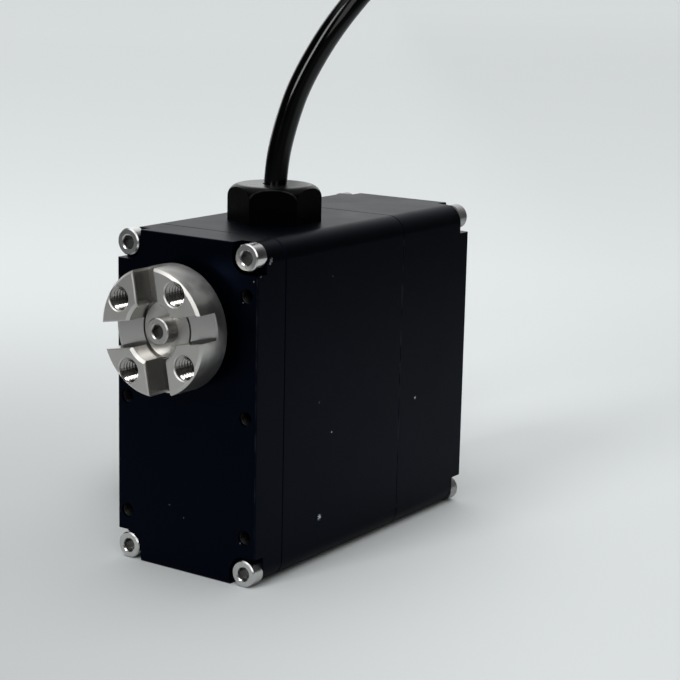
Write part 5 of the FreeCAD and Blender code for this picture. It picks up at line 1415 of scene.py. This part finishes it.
@dataclass
class Horn:
    """Slotted output horn with its washer, screw and tapped sectors."""

    axis_z: float = 42.3 * MM
    face_y: float = -41.2 * MM
    face_depth: float = 0.5 * MM
    outer_r: float = 10.5 * MM
    chamfer: float = 0.4 * MM
    rim_skin: float = 0.05 * MM
    sectors: int = 4
    circle: float = 8.3 * MM
    turn: float = math.radians(10.0)
    thread_r: float = 2.0 * MM
    thread_pitch: float = 0.7 * MM
    thread_start: float = 0.45 * MM
    thread_depth: float = 6.2 * MM
    thread_root: float = 0.01 * MM
    thread_height: float = 0.36 * MM
    screw_r: float = 2.25 * MM
    screw_skin: float = 0.03 * MM

    def build(self) -> None:
        """Dresses the horn and cuts its threads."""
        satin = TurnedSteel(
            "SatinStainless", (0.61, 0.60, 0.575), 0.36, axis_z=self.axis_z, slot_turn=self.turn,
            milled_y=self.face_y + self.face_depth, milled_r=self.outer_r - self.chamfer,
            rim_r=self.outer_r - self.rim_skin)
        dress(satin, "output_horn", "output_shaft")
        dress(TurnedSteel("WasherStainless", (0.50, 0.49, 0.47), 0.44, axis_z=self.axis_z), "clamp_washer")
        screw = SocketSteel(
            "HornScrewSteel", (0.56, 0.55, 0.53), 0.30, middle_z=self.axis_z,
            side_r=self.screw_r - self.screw_skin)
        dress(screw, "horn_screw")
        centres = []
        for sector in range(self.sectors):
            angle = FULL_TURN * (sector + HALF) / self.sectors + self.turn
            centres.append((self.circle * math.cos(angle), self.axis_z + self.circle * math.sin(angle)))
        threads = TappedHoles(
            "HornThreads", tuple(centres), self.face_y, self.thread_start, self.thread_depth,
            outer=self.thread_r + self.thread_root, inner=self.thread_r - self.thread_height,
            pitch=self.thread_pitch)
        flanks = DrawnMetal("CutThreadSteel", (0.42, 0.41, 0.39), 0.15, stretch=(6.0, 1.0, 6.0))
        threads.build(flanks, Body.OUTPUT, "stainless")


@dataclass
class CoverScrews:
    """Socket screws at both ends of the housing."""

    axis_x: float = 12.3 * MM
    middle_z: float = 28.5 * MM
    axis_up: float = 26.2 * MM

    def build(self) -> None:
        """Dresses the bright front screws and the duller rear ones."""
        bright = SocketSteel(
            "BrightStainless", (0.64, 0.64, 0.63), 0.24, mark=0.08 * MM, axis_x=self.axis_x,
            middle_z=self.middle_z, axis_up=self.axis_up)
        dress(bright, "front_cover_screws")
        dull = replace(bright, name="DullStainless", colour=(0.38, 0.38, 0.37), roughness=0.40)
        dress(dull, "rear_cover_screws")


@dataclass
class Gland:
    """Cable gland with its nut and potting."""

    axis_y: float = -8.6 * MM
    turn: float = math.radians(34.6)

    def build(self) -> None:
        """Dresses the gland's pieces."""
        satin = TurnedHexagon(
            "SatinBlackGland", (0.0003, 0.0004, 0.0005), 0.28, ior=1.12, axis_y=self.axis_y,
            heading=self.turn - HALF * math.pi)
        dress(satin, "gland_body")
        dress(Anodised("SatinBlackNut", (0.0006, 0.0008, 0.001), 0.30, ior=1.3), "gland_nut")
        dress(Moulded("CastResin", (0.02, 0.02, 0.024), 0.15), "gland_potting")


@dataclass
class Seals:
    """Rubber seals of covers, shaft and gland."""

    nodes: Tuple[str, ...] = ("front_cover_seal", "rear_cover_seal", "shaft_seal", "gland_oring")

    def build(self) -> None:
        """Dresses the seals."""
        dress(Moulded("NitrileRubber", (0.016, 0.016, 0.017), 0.55), *self.nodes)


@dataclass
class GearTrain:
    """Reduction gears, pins, plate, bearings and the small screws inside."""

    axis_z: float = 42.3 * MM

    def build(self) -> None:
        """Dresses the train."""
        dress(DrawnMetal("CutGearSteel", (0.46, 0.46, 0.47), 0.32),
              "output_gear", "third_reduction_gear", "second_reduction_gear", "first_reduction_gear")
        dress(DrawnMetal("TurnedBrass", (0.74, 0.55, 0.24), 0.28), "motor_pinion", "motor_front_bush")
        dress(DrawnMetal("GroundPinSteel", (0.62, 0.62, 0.63), 0.15), "long_gear_pin", "short_gear_pin")
        dress(DrawnMetal("MilledAluminium", (0.72, 0.73, 0.75), 0.36), "gear_plate", "plate_standoffs")
        dress(DrawnMetal("SmallScrewSteel", (0.55, 0.55, 0.56), 0.25),
              "plate_screws", "motor_screws", "encoder_screws", "board_screws")
        dress(TurnedSteel("BearingRingSteel", (0.66, 0.66, 0.68), 0.14, axis_z=self.axis_z),
              "front_bearing_outer_ring", "front_bearing_inner_ring",
              "rear_bearing_outer_ring", "rear_bearing_inner_ring")
        dress(Finish("BallSteel", (0.72, 0.72, 0.74), 0.06, metallic=1.0),
              "front_bearing_balls", "rear_bearing_balls")


@dataclass
class Motor:
    """Brushed motor behind the gear plate, and the magnets."""

    def build(self) -> None:
        """Dresses the motor."""
        dress(DrawnMetal("PlatedCanSteel", (0.60, 0.60, 0.60), 0.22), "motor_can")
        dress(DrawnMetal("GroundShaftSteel", (0.64, 0.64, 0.65), 0.14), "motor_shaft")
        dress(DrawnMetal("StackedLaminations", (0.36, 0.36, 0.37), 0.42, stretch=(9.0, 1.0, 9.0)),
              "motor_armature")
        dress(WoundWire("EnamelledCopper", (0.50, 0.19, 0.07), 0.25), "armature_windings")
        dress(DrawnMetal("CommutatorCopper", (0.72, 0.37, 0.20), 0.30), "motor_commutator")
        dress(Sintered("SinteredMagnet", (0.07, 0.07, 0.075), 0.55), "motor_magnets", "encoder_magnet")
        dress(Sintered("PressedCarbon", (0.035, 0.035, 0.04), 0.60), "motor_brushes")
        dress(Moulded("EndCapPlastic", (0.025, 0.025, 0.026), 0.42), "motor_end_cap")


@dataclass
class Electronics:
    """Position sensor, control board and wiring inside."""

    ribbon_half: float = 0.8 * MM
    ribbon_grey: Colour = (0.30, 0.30, 0.31)
    ribbon_mark: Colour = (0.35, 0.03, 0.02)

    def build(self) -> None:
        """Dresses boards, chips and leads."""
        dress(CircuitBoard("SolderMask", (0.008, 0.07, 0.03), 0.30), "control_board", "encoder_board")
        dress(Moulded("ChipEpoxy", (0.02, 0.02, 0.021), 0.45), "board_components", "encoder_chip")
        dress(Moulded("SocketPlastic", (0.03, 0.03, 0.03), 0.40), "lead_socket")
        dress(LeadSet("MotorLeadSkin", LEAD_RED, 0.42), "motor_leads")
        dress(LeadSet("CableLeadSkin", LEAD_RED, 0.42), "cable_leads")
        ribbon = LeadSet(
            "RibbonSkin", self.ribbon_grey, 0.45, half_pitch=self.ribbon_half, left=self.ribbon_mark,
            right=self.ribbon_grey)
        dress(ribbon, "encoder_ribbon")


@dataclass
class CableEnd:
    """Sleeve, leads and three-way plug at the cable's far end."""

    middle: float = -30.5 * MM
    half_pitch: float = 0.72 * MM

    def build(self) -> None:
        """Dresses the cable's end."""
        dress(Moulded("ShrinkSleeve", (0.012, 0.012, 0.013), 0.45), "plug_sleeve")
        leads = LeadSet("PlugLeadSkin", LEAD_RED, 0.42, middle=self.middle, half_pitch=self.half_pitch)
        dress(leads, "plug_leads")
        dress(Moulded("PlugPlastic", (0.02, 0.02, 0.021), 0.38), "servo_plug")
        dress(DrawnMetal("GoldFlash", (0.80, 0.60, 0.25), 0.22), "plug_contacts")


def main() -> None:
    """Builds the scene, camera and cable first."""
    logging.basicConfig(level=logging.INFO, format="%(message)s")
    PhotoCamera().build()
    jacket = Moulded(
        "CableJacketSkin", (0.0003, 0.0005, 0.0006), 0.12, ior=1.34, skin=0.8 * MM, skin_depth=0.002 * MM)
    Cable().build(jacket)
    HankStrap().build(Woven("HookStrap", (0.03, 0.03, 0.032), 0.85))
    Studio().build()
    assemblies = (
        Housing(), Horn(), CoverScrews(), Gland(), Seals(), GearTrain(), Motor(), Electronics(), CableEnd())
    for assembly in assemblies:
        assembly.build()


if __name__ == "__main__":
    main()
